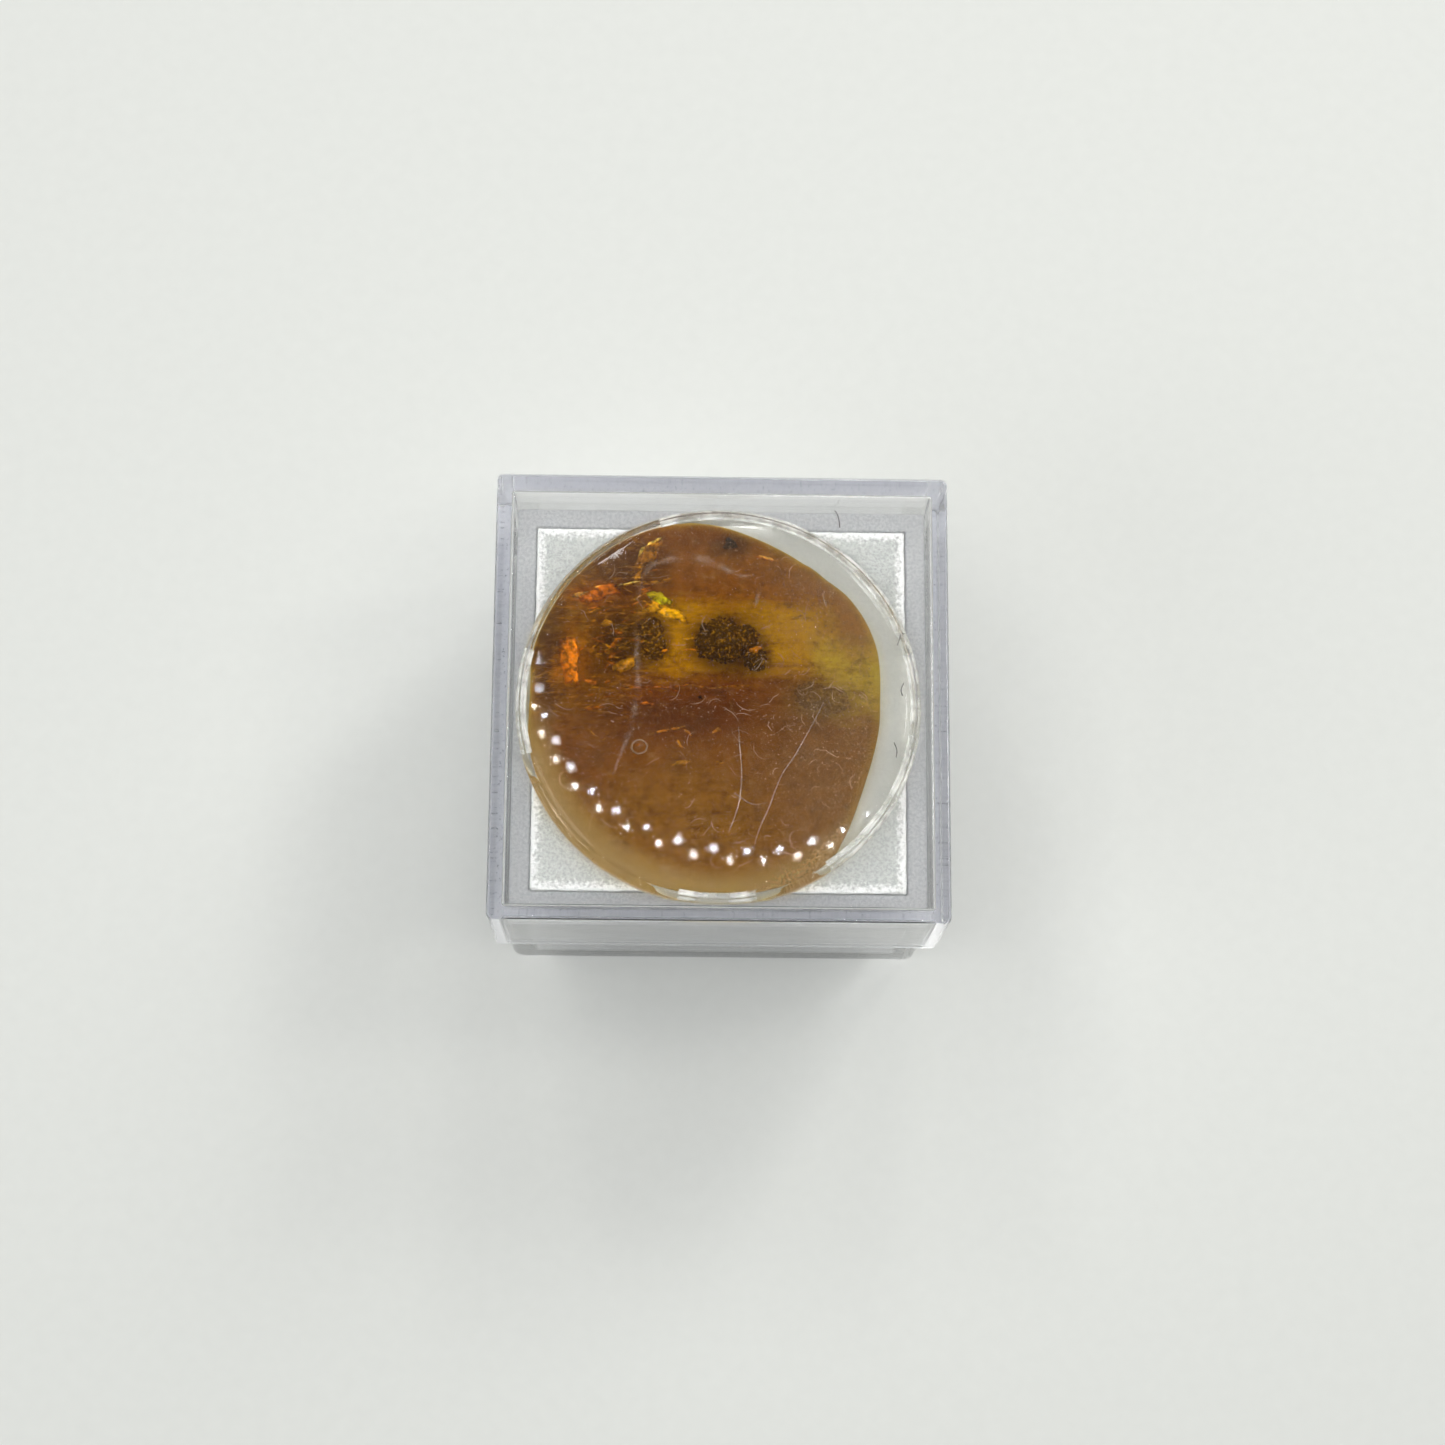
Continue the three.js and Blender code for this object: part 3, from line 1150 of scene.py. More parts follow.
    def build_amber(self) -> None:
        """Make the amber as one clear lens with round edges and a gently uneven skin."""
        middle = (self.dome(self.radius) - self.cover + self.amber_low) / 2
        shares = [1 - (1 - step / self.amber_rings) ** 2 for step in range(1, self.amber_rings + 1)]
        angles = [2 * math.pi * step / self.amber_turns for step in range(self.amber_turns)]

        def ring(share: float, upper: bool) -> Ring:
            """One ring of the amber.

            Args:
                share: its share of the way to the edge.
                upper: whether it is on the top, not on the underside.

            Returns:
                The ring.
            """
            closing = math.sqrt(max(1 - share ** self.amber_bluntness, 0.0))
            points = []
            for angle in angles:
                radius = share * self.reach(angle)
                x, y = radius * math.cos(angle), radius * math.sin(angle)
                spot = Vector((x, y, 3.0 if upper else 9.0))
                swell = abs(self.amber_swell * noise.noise(spot * self.swell_scale))
                face = self.dome(radius) - self.cover - swell if upper else self.amber_low + swell
                points.append(self.axis + Vector((x, y, middle + (face - middle) * closing)))
            return points

        top = [ring(share, True) for share in [self.amber_hub, *shares]]
        below = [ring(share, False) for share in reversed([self.amber_hub, *shares[:-1]])]
        shells = Shells()
        shells.add(bridge([*top, *below]))
        piece = link_piece("amber_piece", shells.mesh("amber"), [self.amber.material(self.axis.x)])
        settle(piece, "amber", "amber_upper", "amber_lower")


@dataclass
class Clots:
    """Dark crumbly clots sealed in the amber.

    A lobe is its middle's x and y from the disc's axis, and its three half sizes.
    """

    specimen: Specimen
    lobes: dict[str, tuple[tuple[float, float, float, float, float], ...]] = field(default_factory=lambda: {
        "clot_large": (
            (0.1, 4.6, 1.5, 1.25, 0.55), (-0.65, 3.9, 0.95, 1.1, 0.45), (0.4, 3.7, 1.2, 1.1, 0.5),
            (1.55, 4.3, 1.1, 1.05, 0.5), (2.35, 3.0, 0.8, 0.9, 0.45)),
        "clot_left": ((-4.55, 4.9, 0.85, 0.9, 0.45), (-4.25, 3.8, 0.8, 1.0, 0.4)),
        "clot_right": ((6.1, 0.5, 1.1, 0.95, 0.35), (7.5, 0.2, 1.1, 0.9, 0.35)),
    })
    height: float = 1.15
    crumbs_per_lobe: int = 110
    crumb: Point = (0.08, 0.2)
    crumb_reach: Point = (0.85, 1.1)
    crumb_flat: float = 0.8
    core: float = 0.9
    core_detail: int = 3
    crumb_detail: int = 1
    rough_depth: float = 0.3
    rough_scale: float = 2.2
    dark: CrumbFinish = CrumbFinish("dark_clot", (0.08, 0.05, 0.012), (0.75, 0.48, 0.09))
    brown: CrumbFinish = CrumbFinish("brown_clot", (0.14, 0.09, 0.02), (1.0, 0.68, 0.14))
    olive: CrumbFinish = CrumbFinish("olive_clot", (0.2, 0.125, 0.04), (0.36, 0.24, 0.08))

    def crumb_shell(self, middle: Vector, sizes: Vector, seed: Vector, detail: int) -> Shell:
        """One lump: a ball roughened by noise.

        Args:
            middle: its middle.
            sizes: its half sizes.
            seed: where its noise starts.
            detail: how finely it is divided.

        Returns:
            The lump.
        """
        work = bmesh.new()
        bmesh.ops.create_icosphere(work, subdivisions=detail, radius=1.0)
        for vertex in work.verts:
            rough = 1 + self.rough_depth * noise.noise(vertex.co * self.rough_scale + seed)
            vertex.co = middle + Vector(part * size for part, size in zip(vertex.co, sizes)) * rough
        return shell_of(work)

    def build(self) -> None:
        """Make each clot as cores with crumbs packed over them."""
        finishes = {"clot_large": self.dark, "clot_left": self.brown, "clot_right": self.olive}
        for name, lobes in self.lobes.items():
            draw = random.Random(name)
            shells = Shells()
            for x, y, half_x, half_y, half_z in lobes:
                middle = self.specimen.axis + Vector((x, y, self.height))
                sizes = Vector((half_x, half_y, half_z)) * self.core
                shells.add(self.crumb_shell(middle, sizes, middle, self.core_detail))
                for _ in range(self.crumbs_per_lobe):
                    out = Vector((draw.gauss(0, 1), draw.gauss(0, 1), draw.gauss(0, 1))).normalized()
                    skin = Vector(part * size for part, size in zip(out, sizes))
                    spot = middle + skin * draw.uniform(*self.crumb_reach)
                    small = Vector((1, 1, self.crumb_flat)) * draw.uniform(*self.crumb)
                    shells.add(self.crumb_shell(spot, small, spot * 7, self.crumb_detail))
            piece = link_piece(f"crumb_{name}", shells.mesh(name), [finishes[name].material()])
            settle(piece, "dark_clot", name)


@dataclass(frozen=True)
class Flake:
    """A flat crack that glints, with its ends given from the disc's axis and its depth from the dome."""

    start: Point
    end: Point
    width: float
    hue: Spangle
    depth: float = 0.7
    tilt: float = 20.0


@dataclass
class Inclusions:
    """Small things in the amber: glinting cracks, specks and a bubble."""

    specimen: Specimen
    flakes: tuple[Flake, ...] = (
        Flake((-5.65, 9.3), (-5.0, 10.7), 0.24, Spangle.GOLD, 0.35, 25),
        Flake((-5.1, 10.6), (-3.8, 11.4), 0.3, Spangle.GOLD, 0.35, 25),
        Flake((-5.3, 9.4), (-4.5, 10.4), 0.26, Spangle.GOLD, 0.4, 10),
        Flake((-4.6, 10.3), (-3.8, 11.2), 0.2, Spangle.GOLD, 0.4, 10),
        Flake((-5.6, 8.2), (-5.2, 9.5), 0.36, Spangle.GOLD, 0.45, 10),
        Flake((-5.5, 9.3), (-3.9, 11.3), 0.9, Spangle.GOLD, 0.5, 10),
        Flake((-4.7, 6.6), (-2.4, 5.4), 0.9, Spangle.GOLD, 0.6, 10),
        Flake((-4.75, 7.4), (-3.3, 6.4), 0.8, Spangle.GREEN, 0.4, 15),
        Flake((-6.5, 7.8), (-2.9, 8.25), 0.28, Spangle.GOLD, 0.45, 35),
        Flake((-5.3, 5.95), (-3.6, 6.2), 0.35, Spangle.GOLD, 0.5, 20),
        Flake((-10.2, 4.4), (-9.5, 1.1), 1.4, Spangle.ORANGE, 0.5, 20),
        Flake((-9.5, 7.2), (-6.9, 7.6), 1.0, Spangle.ORANGE, 0.45, 20),
        Flake((-7.0, 2.0), (-5.5, 2.5), 0.85, Spangle.GOLD, 0.5, 15),
        Flake((-7.9, 5.1), (-7.1, 5.35), 0.5, Spangle.GOLD, 0.4, 20),
        Flake((-7.4, 3.4), (-6.4, 4.2), 0.35, Spangle.ORANGE, 0.6, 25),
        Flake((2.0, 3.2), (2.7, 3.6), 0.45, Spangle.ORANGE, 0.45, 15),
        Flake((2.4, 10.0), (3.7, 9.85), 0.3, Spangle.ORANGE, 0.35, 20),
        Flake((-6.6, 0.6), (-2.0, 0.9), 0.14, Spangle.ORANGE, 0.55, 40),
        Flake((-2.2, 0.95), (2.1, 0.9), 0.1, Spangle.GOLD, 0.55, 40),
        Flake((-4.4, -2.35), (-2.3, -1.9), 0.18, Spangle.GOLD, 0.5, 30),
        Flake((-2.75, -2.8), (-2.4, -3.25), 0.22, Spangle.GOLD, 0.5, 10),
        Flake((-3.0, -4.45), (-1.9, -4.2), 0.28, Spangle.GOLD, 0.5, 15),
        Flake((-0.45, -2.25), (0.2, -2.1), 0.24, Spangle.GOLD, 0.5, 15),
        Flake((-0.2, -4.2), (0.35, -4.3), 0.2, Spangle.GOLD, 0.5, 15),
        Flake((-2.3, -2.1), (-1.8, -2.5), 0.22, Spangle.GOLD, 0.5, 15),
        Flake((-5.3, -0.3), (-4.2, -0.4), 0.2, Spangle.ORANGE, 0.6, 20),
        Flake((-9.0, -0.8), (-7.4, -0.6), 0.2, Spangle.ORANGE, 0.6, 20),
        Flake((4.6, 5.6), (5.6, 5.9), 0.18, Spangle.GOLD, 0.5, 20),
    )
    glints: int = 90
    glint_middle: Point = (-7.4, 4.2)
    glint_spread: Point = (2.0, 3.0)
    glint_length: Point = (0.25, 1.1)
    glint_width: Point = (0.06, 0.2)
    glint_turn: Point = (0.15, 0.35)
    glint_depth: Point = (0.45, 0.9)
    glint_tilt: Point = (0.0, 40.0)
    glint_margin: float = 2.5
    glint_pull: float = 0.7
    glint_orange: float = 0.45
    spot: tuple[float, float, float] = (0.66, 10.9, 0.42)
    speck: tuple[float, float, float] = (-1.26, 0.0, 0.16)
    speck_depth: float = 0.55
    speck_lumps: int = 9
    speck_spread: Point = (0.45, 0.35)
    lump: Point = (0.3, 0.6)
    lump_flat: float = 0.3
    bubble: tuple[float, float, float] = (-5.2, -3.3, 0.5)
    bubble_depth: float = 0.1
    bubble_painted_rim: float = 0.07
    bubble_steps: int = 40
    bubble_sides: int = 6
    thin: float = 0.03
    jag: float = 0.55
    jag_scale: float = 2.5
    bend: float = 0.12
    dark: CrumbFinish = CrumbFinish("dark_speck", (0.02, 0.012, 0.006), (0.07, 0.04, 0.02))
    # The bubble's pale rim is a painted reflection.
    pale: ThreadFinish = ThreadFinish("bubble_painted_rim", (0.5, 0.33, 0.18), (0.7, 0.52, 0.32), 0.3)

    def flake_shell(self, flake: Flake, draw: random.Random) -> Shell:
        """A thin jagged lens between a flake's ends.

        Args:
            flake: the flake.
            draw: where its noise is drawn from.

        Returns:
            The lens.
        """
        start, end = Vector(flake.start), Vector(flake.end)
        middle, run = (start + end) / 2, end - start
        base = self.specimen.on_dome(middle.x, middle.y, -flake.depth)
        heading = Matrix.Rotation(math.atan2(run.y, run.x), 3, "Z")
        turn = heading @ Matrix.Rotation(math.radians(flake.tilt), 3, "X")
        work = bmesh.new()
        bmesh.ops.create_uvsphere(work, u_segments=28, v_segments=6, radius=1.0)
        seed = Vector((draw.random(), draw.random(), draw.random())) * 50
        for vertex in work.verts:
            flat = Vector((vertex.co.x * self.jag_scale, vertex.co.y * self.jag_scale, 0))
            jag = 1 + self.jag * noise.noise(flat + seed)
            bend = self.bend * run.length * noise.noise(Vector((vertex.co.x, 0, 0)) + seed)
            x = vertex.co.x * run.length / 2 * jag
            y = vertex.co.y * flake.width / 2 * jag + bend
            vertex.co = base + turn @ Vector((x, y, vertex.co.z * self.thin))
        return shell_of(work)

    def glint(self, draw: random.Random) -> Flake:
        """A small crack among many in the left part of the amber, lying nearly along x.

        Args:
            draw: where its place and shape are drawn from.

        Returns:
            The crack.
        """
        x, y = (draw.gauss(middle, spread) for middle, spread in zip(self.glint_middle, self.glint_spread))
        if math.hypot(x, y) > self.specimen.radius - self.glint_margin:
            x, y = self.glint_pull * x, self.glint_pull * y
        run = draw.uniform(*self.glint_length)
        turn = draw.gauss(*self.glint_turn)
        end = (x + run * math.cos(turn), y + run * math.sin(turn))
        hue = Spangle.ORANGE if draw.random() < self.glint_orange else Spangle.GOLD
        width = draw.uniform(*self.glint_width)
        depth = draw.uniform(*self.glint_depth)
        return Flake((x, y), end, width, hue, depth, draw.uniform(*self.glint_tilt))

    def build_flakes(self) -> None:
        """Make the glinting cracks, one piece for each colour."""
        draw = random.Random(11)
        groups = {hue: Shells() for hue in Spangle}
        for flake in [*self.flakes, *(self.glint(draw) for _ in range(self.glints))]:
            groups[flake.hue].add(self.flake_shell(flake, draw))
        for hue, shells in groups.items():
            name = f"flakes_{hue.name.lower()}"
            settle(link_piece(name, shells.mesh(name), [SpangleFinish(hue).material()]), "amber")

    def build_specks(self, clots: Clots) -> None:
        """Make the two small dark specks.

        Args:
            clots: the clots, whose lumps they share.
        """
        draw = random.Random(5)
        shells = Shells()
        for x, y, size in (self.spot, self.speck):
            middle = self.specimen.on_dome(x, y, -self.speck_depth)
            for _ in range(self.speck_lumps):
                shift = [draw.gauss(0, spread) for spread in self.speck_spread]
                part = middle + size * Vector((*shift, 0))
                wide = draw.uniform(*self.lump)
                sizes = Vector((wide, 0.9 * wide, self.lump_flat)) * size
                shells.add(clots.crumb_shell(part, sizes, part * 5, 2))
        settle(link_piece("dark_specks", shells.mesh("dark_specks"), [self.dark.material()]), "dark_clot")

    def build_bubble(self) -> None:
        """Make the rim of the small flat bubble: a faint pale ring, a painted reflection with no hollow
        made.
        """
        x, y, size = self.bubble
        cross = [2 * math.pi * step / self.bubble_sides for step in range(self.bubble_sides)]
        up = Vector((0, 0, 1))
        rings = []
        for step in range(self.bubble_steps):
            angle = 2 * math.pi * step / self.bubble_steps
            out = Vector((math.cos(angle), 0.9 * math.sin(angle), 0))
            middle = self.specimen.on_dome(x + out.x * size, y + out.y * size, -self.bubble_depth)
            rings.append([middle + self.bubble_painted_rim * (math.cos(a) * out + math.sin(a) * up) for a in cross])
        shells = Shells()
        shells.add(bridge([*rings, rings[0]], caps=False))
        mesh = shells.mesh("bubble_painted_rim")
        work = bmesh.new()
        work.from_mesh(mesh)
        bmesh.ops.remove_doubles(work, verts=work.verts, dist=1e-7)
        work.to_mesh(mesh)
        work.free()
        settle(link_piece("bubble_painted_rim", mesh, [self.pale.material()]), "amber")

    def build(self, clots: Clots) -> None:
        """Make all of them.

        Args:
            clots: the clots, whose lumps the specks share.
        """
        self.build_flakes()
        self.build_specks(clots)
        self.build_bubble()


@dataclass(frozen=True)
class Crease:
    """A pale crease or scratch in the amber's skin: points from the disc's axis, and half its width."""

    points: tuple[Point, ...]
    half: float


@dataclass
class SkinMarks:
    """What shows on the skin of the amber and the disc: creases, scratches, fibres, grains and hairs."""

    specimen: Specimen
    creases: tuple[Crease, ...] = (
        Crease(((-5.3, 7.6), (-5.0, 8.7), (-4.3, 9.4), (-3.0, 9.8), (-1.6, 9.8), (-0.3, 9.4), (0.7, 8.85),
                (1.5, 8.5), (2.3, 8.6)), 0.42),
        Crease(((-5.2, 8.2), (-5.4, 6.3), (-5.5, 4.3), (-5.35, 2.2), (-5.35, 0.6), (-5.55, -0.9),
                (-5.9, -2.4), (-6.4, -3.7), (-6.9, -5.1)), 0.34),
        Crease(((2.9, 8.4), (2.6, 7.4), (2.4, 6.4)), 0.26),
    )
    scratches: tuple[Crease, ...] = (
        Crease(((6.9, -0.1), (6.4, -1.2), (5.6, -2.7), (5.0, -3.8), (4.2, -5.0), (3.7, -6.2), (3.3, -7.3),
                (2.8, -8.4), (2.5, -9.3), (2.3, -10.3)), 0.05),
        Crease(((1.3, -1.9), (1.35, -3.0), (1.5, -4.5), (1.5, -5.7), (1.35, -7.0), (1.05, -8.0),
                (0.7, -8.9)), 0.055),
        Crease(((1.0, -6.3), (1.6, -6.7), (2.3, -7.05), (3.3, -6.9)), 0.035),
    )
    hairs: tuple[tuple[Point, ...], ...] = (
        ((7.7, 13.9), (7.9, 13.6), (8.0, 13.2), (8.05, 12.7)),
        ((12.2, 5.2), (12.05, 4.6), (11.9, 4.1)),
        ((11.6, -2.6), (11.8, -3.1), (11.75, -3.6)),
        ((12.3, 1.5), (12.1, 1.0), (12.2, 0.6)),
        ((-2.1, -13.55), (-1.95, -13.6), (-1.8, -13.55)),
    )
    crease_layers: tuple[float, ...] = (1.0, 0.65, 0.35)
    crease_depth: float = 0.06
    layer_step: float = 0.02
    crease_flat: float = 0.1
    scratch_depth: float = 0.03
    scratch_flat: float = 0.4
    line_taper: float = 0.04
    hair_radius: float = 0.035
    hair_rise: float = 0.05
    hair_drop: float = 0.1
    hair_margin: float = 0.4
    fibres: int = 120
    fibre_margin: float = 0.7
    fibre_side: float = -0.6
    fibre_lean: float = 0.35
    fibre_curl: float = 0.22
    fibre_kink: float = 0.25
    fibre_length: Point = (0.35, 1.5)
    fibre_radius: Point = (0.008, 0.014)
    fibre_taper: tuple[float, ...] = (0.5, 0.8, 1.0, 1.0, 1.0, 1.0, 0.8, 0.5)
    grains: int = 2200
    grain_size: Point = (0.02, 0.05)
    grain_uneven: Point = (0.6, 1.0)
    grain_flat: float = 0.6
    grain_rise: float = 0.01
    soot: int = 900
    soot_side: float = 0.55
    soot_spread: float = 0.5
    soot_inward: float = 0.16
    # The creases are real, with their whitish sheen painted as faint pale welts.
    pale: ThreadFinish = ThreadFinish("crease_painted_sheen", (0.6, 0.42, 0.28), (0.9, 0.75, 0.6), 0.032, 0.85)
    white: ThreadFinish = ThreadFinish("white_scratch", (0.6, 0.45, 0.33), (0.9, 0.8, 0.7), 0.3)
    dust: ThreadFinish = ThreadFinish("dust_fibre", (0.32, 0.215, 0.12), (0.58, 0.45, 0.31))
    dark: ThreadFinish = ThreadFinish("dark_hair", (0.03, 0.028, 0.03), (0.12, 0.11, 0.11))

    def line(self, crease: Crease, share: float, depth: float, flat: float) -> Shell:
        """A low tapering welt along a crease.

        Args:
            crease: the crease.
            share: the share of its width.
            depth: how far it lies under the dome.
            flat: its height over its width.

        Returns:
            The welt.
        """
        path = [self.specimen.on_dome(x, y, -depth) for x, y in smooth_path(crease.points, 6)]
        last = len(path) - 1
        radii = []
        for index, point in enumerate(path):
            along = min(max(index / last, self.line_taper), 1 - self.line_taper)
            taper = math.sin(math.pi * along) ** 0.5
            radii.append(crease.half * share * taper * (0.75 + 0.5 * abs(noise.noise(point * 1.7))))
        return tube(path, radii, flat, 8)

    def fibre(self, draw: random.Random) -> Shell:
        """One curled dust fibre on the dome.

        Args:
            draw: where its place and shape are drawn from.

        Returns:
            The fibre.
        """
        turn = draw.uniform(-math.pi, math.pi)
        if draw.random() < self.fibre_lean:
            turn = draw.gauss(self.fibre_side, 1.0)
        reach = (self.specimen.reach(turn) - self.fibre_margin) * math.sqrt(draw.random())
        x, y = reach * math.cos(turn), reach * math.sin(turn)
        heading, curl = draw.uniform(0, 2 * math.pi), draw.gauss(0, self.fibre_curl)
        radius = draw.uniform(*self.fibre_radius)
        step = draw.uniform(*self.fibre_length) / (len(self.fibre_taper) - 1)
        path = []
        for _ in self.fibre_taper:
            path.append(self.specimen.on_dome(x, y, radius))
            x, y = x + step * math.cos(heading), y + step * math.sin(heading)
            heading += curl + draw.gauss(0, self.fibre_kink)
        return tube(path, [radius * taper for taper in self.fibre_taper], 1.0, 5)

    def grain(self, draw: random.Random, soot: bool) -> Shell:
        """One grain of dust on the dome, a small uneven double pyramid.

        Args:
            draw: where its place and shape are drawn from.
            soot: whether it is one of the dark grains, which lie along the amber's right edge.

        Returns:
            The grain.
        """
        turn, inward = draw.uniform(-math.pi, math.pi), math.sqrt(draw.random())
        if soot:
            turn = draw.gauss(self.soot_side, self.soot_spread)
            inward = 1 - abs(draw.gauss(0, self.soot_inward))
        reach = (self.specimen.reach(turn) - self.fibre_margin / 2) * inward
        middle = self.specimen.on_dome(reach * math.cos(turn), reach * math.sin(turn), self.grain_rise)
        size, spin = draw.uniform(*self.grain_size), draw.uniform(0, math.pi)
        points = []
        faces = []
        for step in range(4):
            angle = spin + 2 * math.pi * step / 4
            out = size * draw.uniform(*self.grain_uneven)
            points.append(middle + out * Vector((math.cos(angle), math.sin(angle), 0)))
            faces += [[step, (step + 1) % 4, 4], [(step + 1) % 4, step, 5]]
        tip = Vector((0, 0, self.grain_flat * size))
        return [*points, middle + tip, middle - tip], faces

    def hair_spot(self, x: float, y: float) -> Vector:
        """Where a hair lies: on the dome, or on the pad beside the disc.

        Args:
            x: the place along x, from the disc's axis on the dome.
            y: the place along y.

        Returns:
            The point.
        """
        if math.hypot(x, y) < self.specimen.radius - self.hair_margin:
            return self.specimen.on_dome(x, y, self.hair_rise)
        return Vector((x, y, self.specimen.axis.z + self.hair_drop))

    def build(self) -> None:
        """Make the creases, scratches, fibres, grains and hairs."""
        draw = random.Random(23)
        creases, scratches, fibres, hairs = Shells(), Shells(), Shells(), Shells()
        # Faint layered welts: real creases with a painted pale sheen.
        for crease in self.creases:
            for layer, share in enumerate(self.crease_layers):
                depth = self.crease_depth + self.layer_step * layer
                creases.add(self.line(crease, share, depth, self.crease_flat))
        for scratch in self.scratches:
            scratches.add(self.line(scratch, 1.0, self.scratch_depth, self.scratch_flat))
        for _ in range(self.fibres):
            fibres.add(self.fibre(draw))
        for _ in range(self.grains):
            fibres.add(self.grain(draw, False))
        for _ in range(self.soot):
            hairs.add(self.grain(draw, True))
        for points in self.hairs:
            path = [self.hair_spot(x, y) for x, y in smooth_path(points, 4)]
            hairs.add(tube(path, [self.hair_radius] * len(path), 1.0, 5))
        settle(link_piece("amber_creases", creases.mesh("creases"), [self.pale.material()]), "amber")
        settle(link_piece("amber_scratches", scratches.mesh("scratches"), [self.white.material()]), "amber")
        settle(link_piece("dust_fibres", fibres.mesh("fibres"), [self.dust.material()]), "white_foam")
        settle(link_piece("dark_hairs", hairs.mesh("hairs"), [self.dark.material()]), "dark_clot")


@dataclass(frozen=True)
class Lamp:
    """A soft round lamp: where it hangs, in millimetres, its width, power in watts and colour."""

    name: str
    place: tuple[float, float, float]
    width: float
    power: float
    colour: Colour = (1.0, 1.0, 1.0)


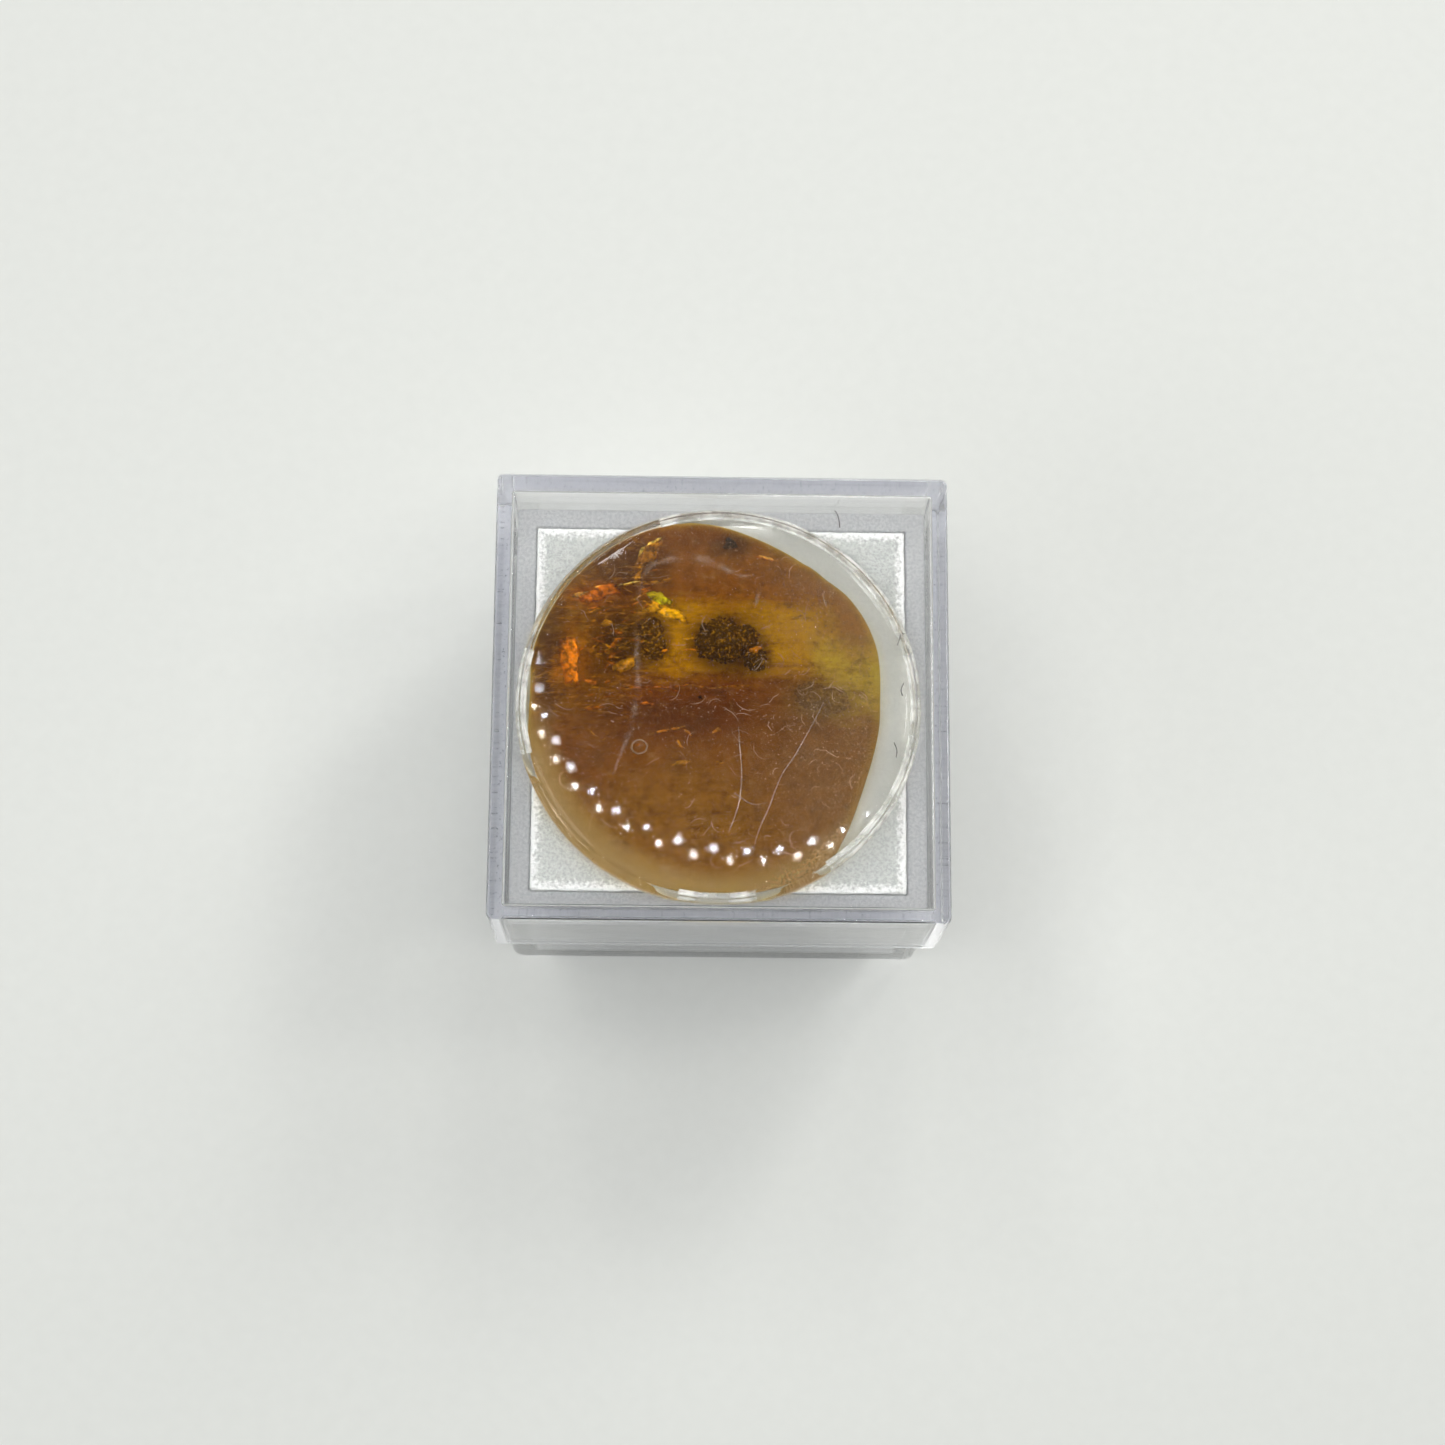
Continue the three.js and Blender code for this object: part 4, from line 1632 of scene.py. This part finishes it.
@dataclass
class Studio:
    """A pale floor, soft lamps and the camera."""

    eye: tuple[float, float, float] = (-3.31, -45.98, 204.12)
    target: tuple[float, float, float] = (0.2, -0.87, 16.0)
    roll_degrees: float = 0.43
    lens: float = 72.1
    floor_half: float = 3000.0
    floor_colour: Colour = (0.8, 0.81, 0.79)
    floor_dim: float = 0.96
    floor_scale: float = 0.9
    floor_roughness: float = 0.8
    horizon: Colour = (0.9, 0.92, 0.94)
    zenith: Colour = (0.1, 0.102, 0.105)
    sky_strength: float = 0.31
    lamps: tuple[Lamp, ...] = (
        Lamp("key", (260, 300, 240), 160, 0.38, (1.0, 1.0, 0.96)),
        Lamp("fill", (-360, -140, 260), 260, 0.29, (0.97, 1.0, 1.0)),
        Lamp("right", (234, 77, 300), 60, 0.164, (0.96, 0.96, 0.92)),
        Lamp("back_right", (207, 260, 300), 60, 0.164, (0.96, 0.96, 0.92)),
        Lamp("back", (47, 352, 300), 60, 0.164, (0.96, 0.96, 0.92)),
        Lamp("back_left", (-125, 285, 300), 60, 0.164, (0.96, 0.96, 0.92)),
    )
    ring_middle: tuple[float, float, float] = (31.0, 140.0, 300.0)
    ring_radius: float = 213.0
    ring_zigzag: float = 4.5
    ring_arc: Point = (162.857, 317.143)
    ring_lamps: int = 37
    ring_width: float = 4.0
    ring_power: float = 0.515
    ring_tints: tuple[Colour, ...] = ((1.0, 0.96, 0.84), (0.9, 0.95, 1.0))
    sky_fade: Point = (0.7, 0.93)
    clip_start: float = 5.0
    bounces: int = 14
    diffuse_bounces: int = 2
    clear_layers: int = 20
    highlight_limit: float = 60.0

    def ring(self) -> list[Lamp]:
        """A level row of small lamps along a part of a ring, bending in and out, that shows on the dome.

        Returns:
            The lamps.
        """
        first, last = self.ring_arc
        lamps = []
        for index in range(self.ring_lamps):
            angle = math.radians(first + (last - first) * index / (self.ring_lamps - 1))
            reach = self.ring_radius + self.ring_zigzag * (-1) ** index
            place = Vector(self.ring_middle) + reach * Vector((math.cos(angle), math.sin(angle), 0))
            power = self.ring_power / self.ring_lamps
            tint = self.ring_tints[index % len(self.ring_tints)]
            lamps.append(Lamp(f"ring_{index:02d}", tuple(place), self.ring_width, power, tint))
        return lamps

    def build_floor(self) -> None:
        """Lay the floor."""
        recipe = Recipe("pale_floor")
        grain = recipe.mottle(recipe.place(), self.floor_scale, 1.0)
        dim = tuple(self.floor_dim * part for part in self.floor_colour)
        recipe.finish(recipe.surface({
            "Base Color": recipe.blend(grain, dim, self.floor_colour),
            "Roughness": self.floor_roughness,
        }))
        half = self.floor_half
        corners = ((-half, -half), (half, -half), (half, half), (-half, half))
        shells = Shells()
        shells.add(([Vector((x, y, 0)) for x, y in corners], [[0, 1, 2, 3]]))
        floor = link_piece("floor", shells.mesh("floor"), [recipe.owner])

    def build_lamps(self) -> None:
        """Hang the lamps and set the sky."""
        for lamp in [*self.lamps, *self.ring()]:
            light = bpy.data.lights.new(lamp.name, "AREA")
            light.shape = "DISK"
            light.size = lamp.width * MM
            light.energy = lamp.power
            light.color = lamp.colour
            holder = bpy.data.objects.new(lamp.name, light)
            holder.location = Vector(lamp.place) * MM
            aim = Vector(self.target) - Vector(lamp.place)
            holder.rotation_euler = aim.to_track_quat("-Z", "Y").to_euler()
            bpy.context.scene.collection.objects.link(holder)
        recipe = Recipe("soft_sky", sky=True)
        height = recipe.axes(recipe.node("ShaderNodeTexCoord").outputs["Generated"])[2]
        colour = recipe.blend(height.fade(*self.sky_fade), self.horizon, self.zenith)
        sky = recipe.node("ShaderNodeBackground", None, {"Color": colour, "Strength": self.sky_strength})
        bpy.context.scene.world = recipe.finish(sky.outputs[0])

    def build_camera(self) -> None:
        """Set the camera at the photograph's angle and framing."""
        ahead = (Vector(self.target) - Vector(self.eye)).normalized()
        level = ahead.cross(Vector((0, 1, 0))).normalized()
        lean = level.cross(ahead)
        roll = math.radians(self.roll_degrees)
        right = math.cos(roll) * level + math.sin(roll) * lean
        up = right.cross(ahead)
        camera = bpy.data.objects.new("camera", bpy.data.cameras.new("camera"))
        camera.data.lens = self.lens
        camera.data.clip_start = self.clip_start * MM
        turn = Matrix((right, up, -ahead)).transposed().to_4x4()
        camera.matrix_world = Matrix.Translation(Vector(self.eye) * MM) @ turn
        bpy.context.scene.collection.objects.link(camera)
        bpy.context.scene.camera = camera

    def build(self) -> None:
        """Make the stage and choose how light is followed through the clear solids."""
        self.build_floor()
        self.build_lamps()
        self.build_camera()
        scene = bpy.context.scene
        scene.view_settings.view_transform = "Standard"
        scene.cycles.max_bounces = self.bounces
        scene.cycles.diffuse_bounces = self.diffuse_bounces
        scene.cycles.transmission_bounces = self.bounces
        scene.cycles.transparent_max_bounces = self.clear_layers
        scene.cycles.sample_clamp_indirect = self.highlight_limit


def main() -> None:
    """Build the stage, the box and the specimen in it."""
    logging.basicConfig(level=logging.INFO, format="%(name)s: %(message)s")
    Studio().build()
    GemBox().build()
    FoamPad().build()
    specimen = Specimen()
    specimen.build_disc()
    specimen.build_amber()
    clots = Clots(specimen)
    clots.build()
    Inclusions(specimen).build(clots)
    SkinMarks(specimen).build()


if __name__ == "__main__":
    main()
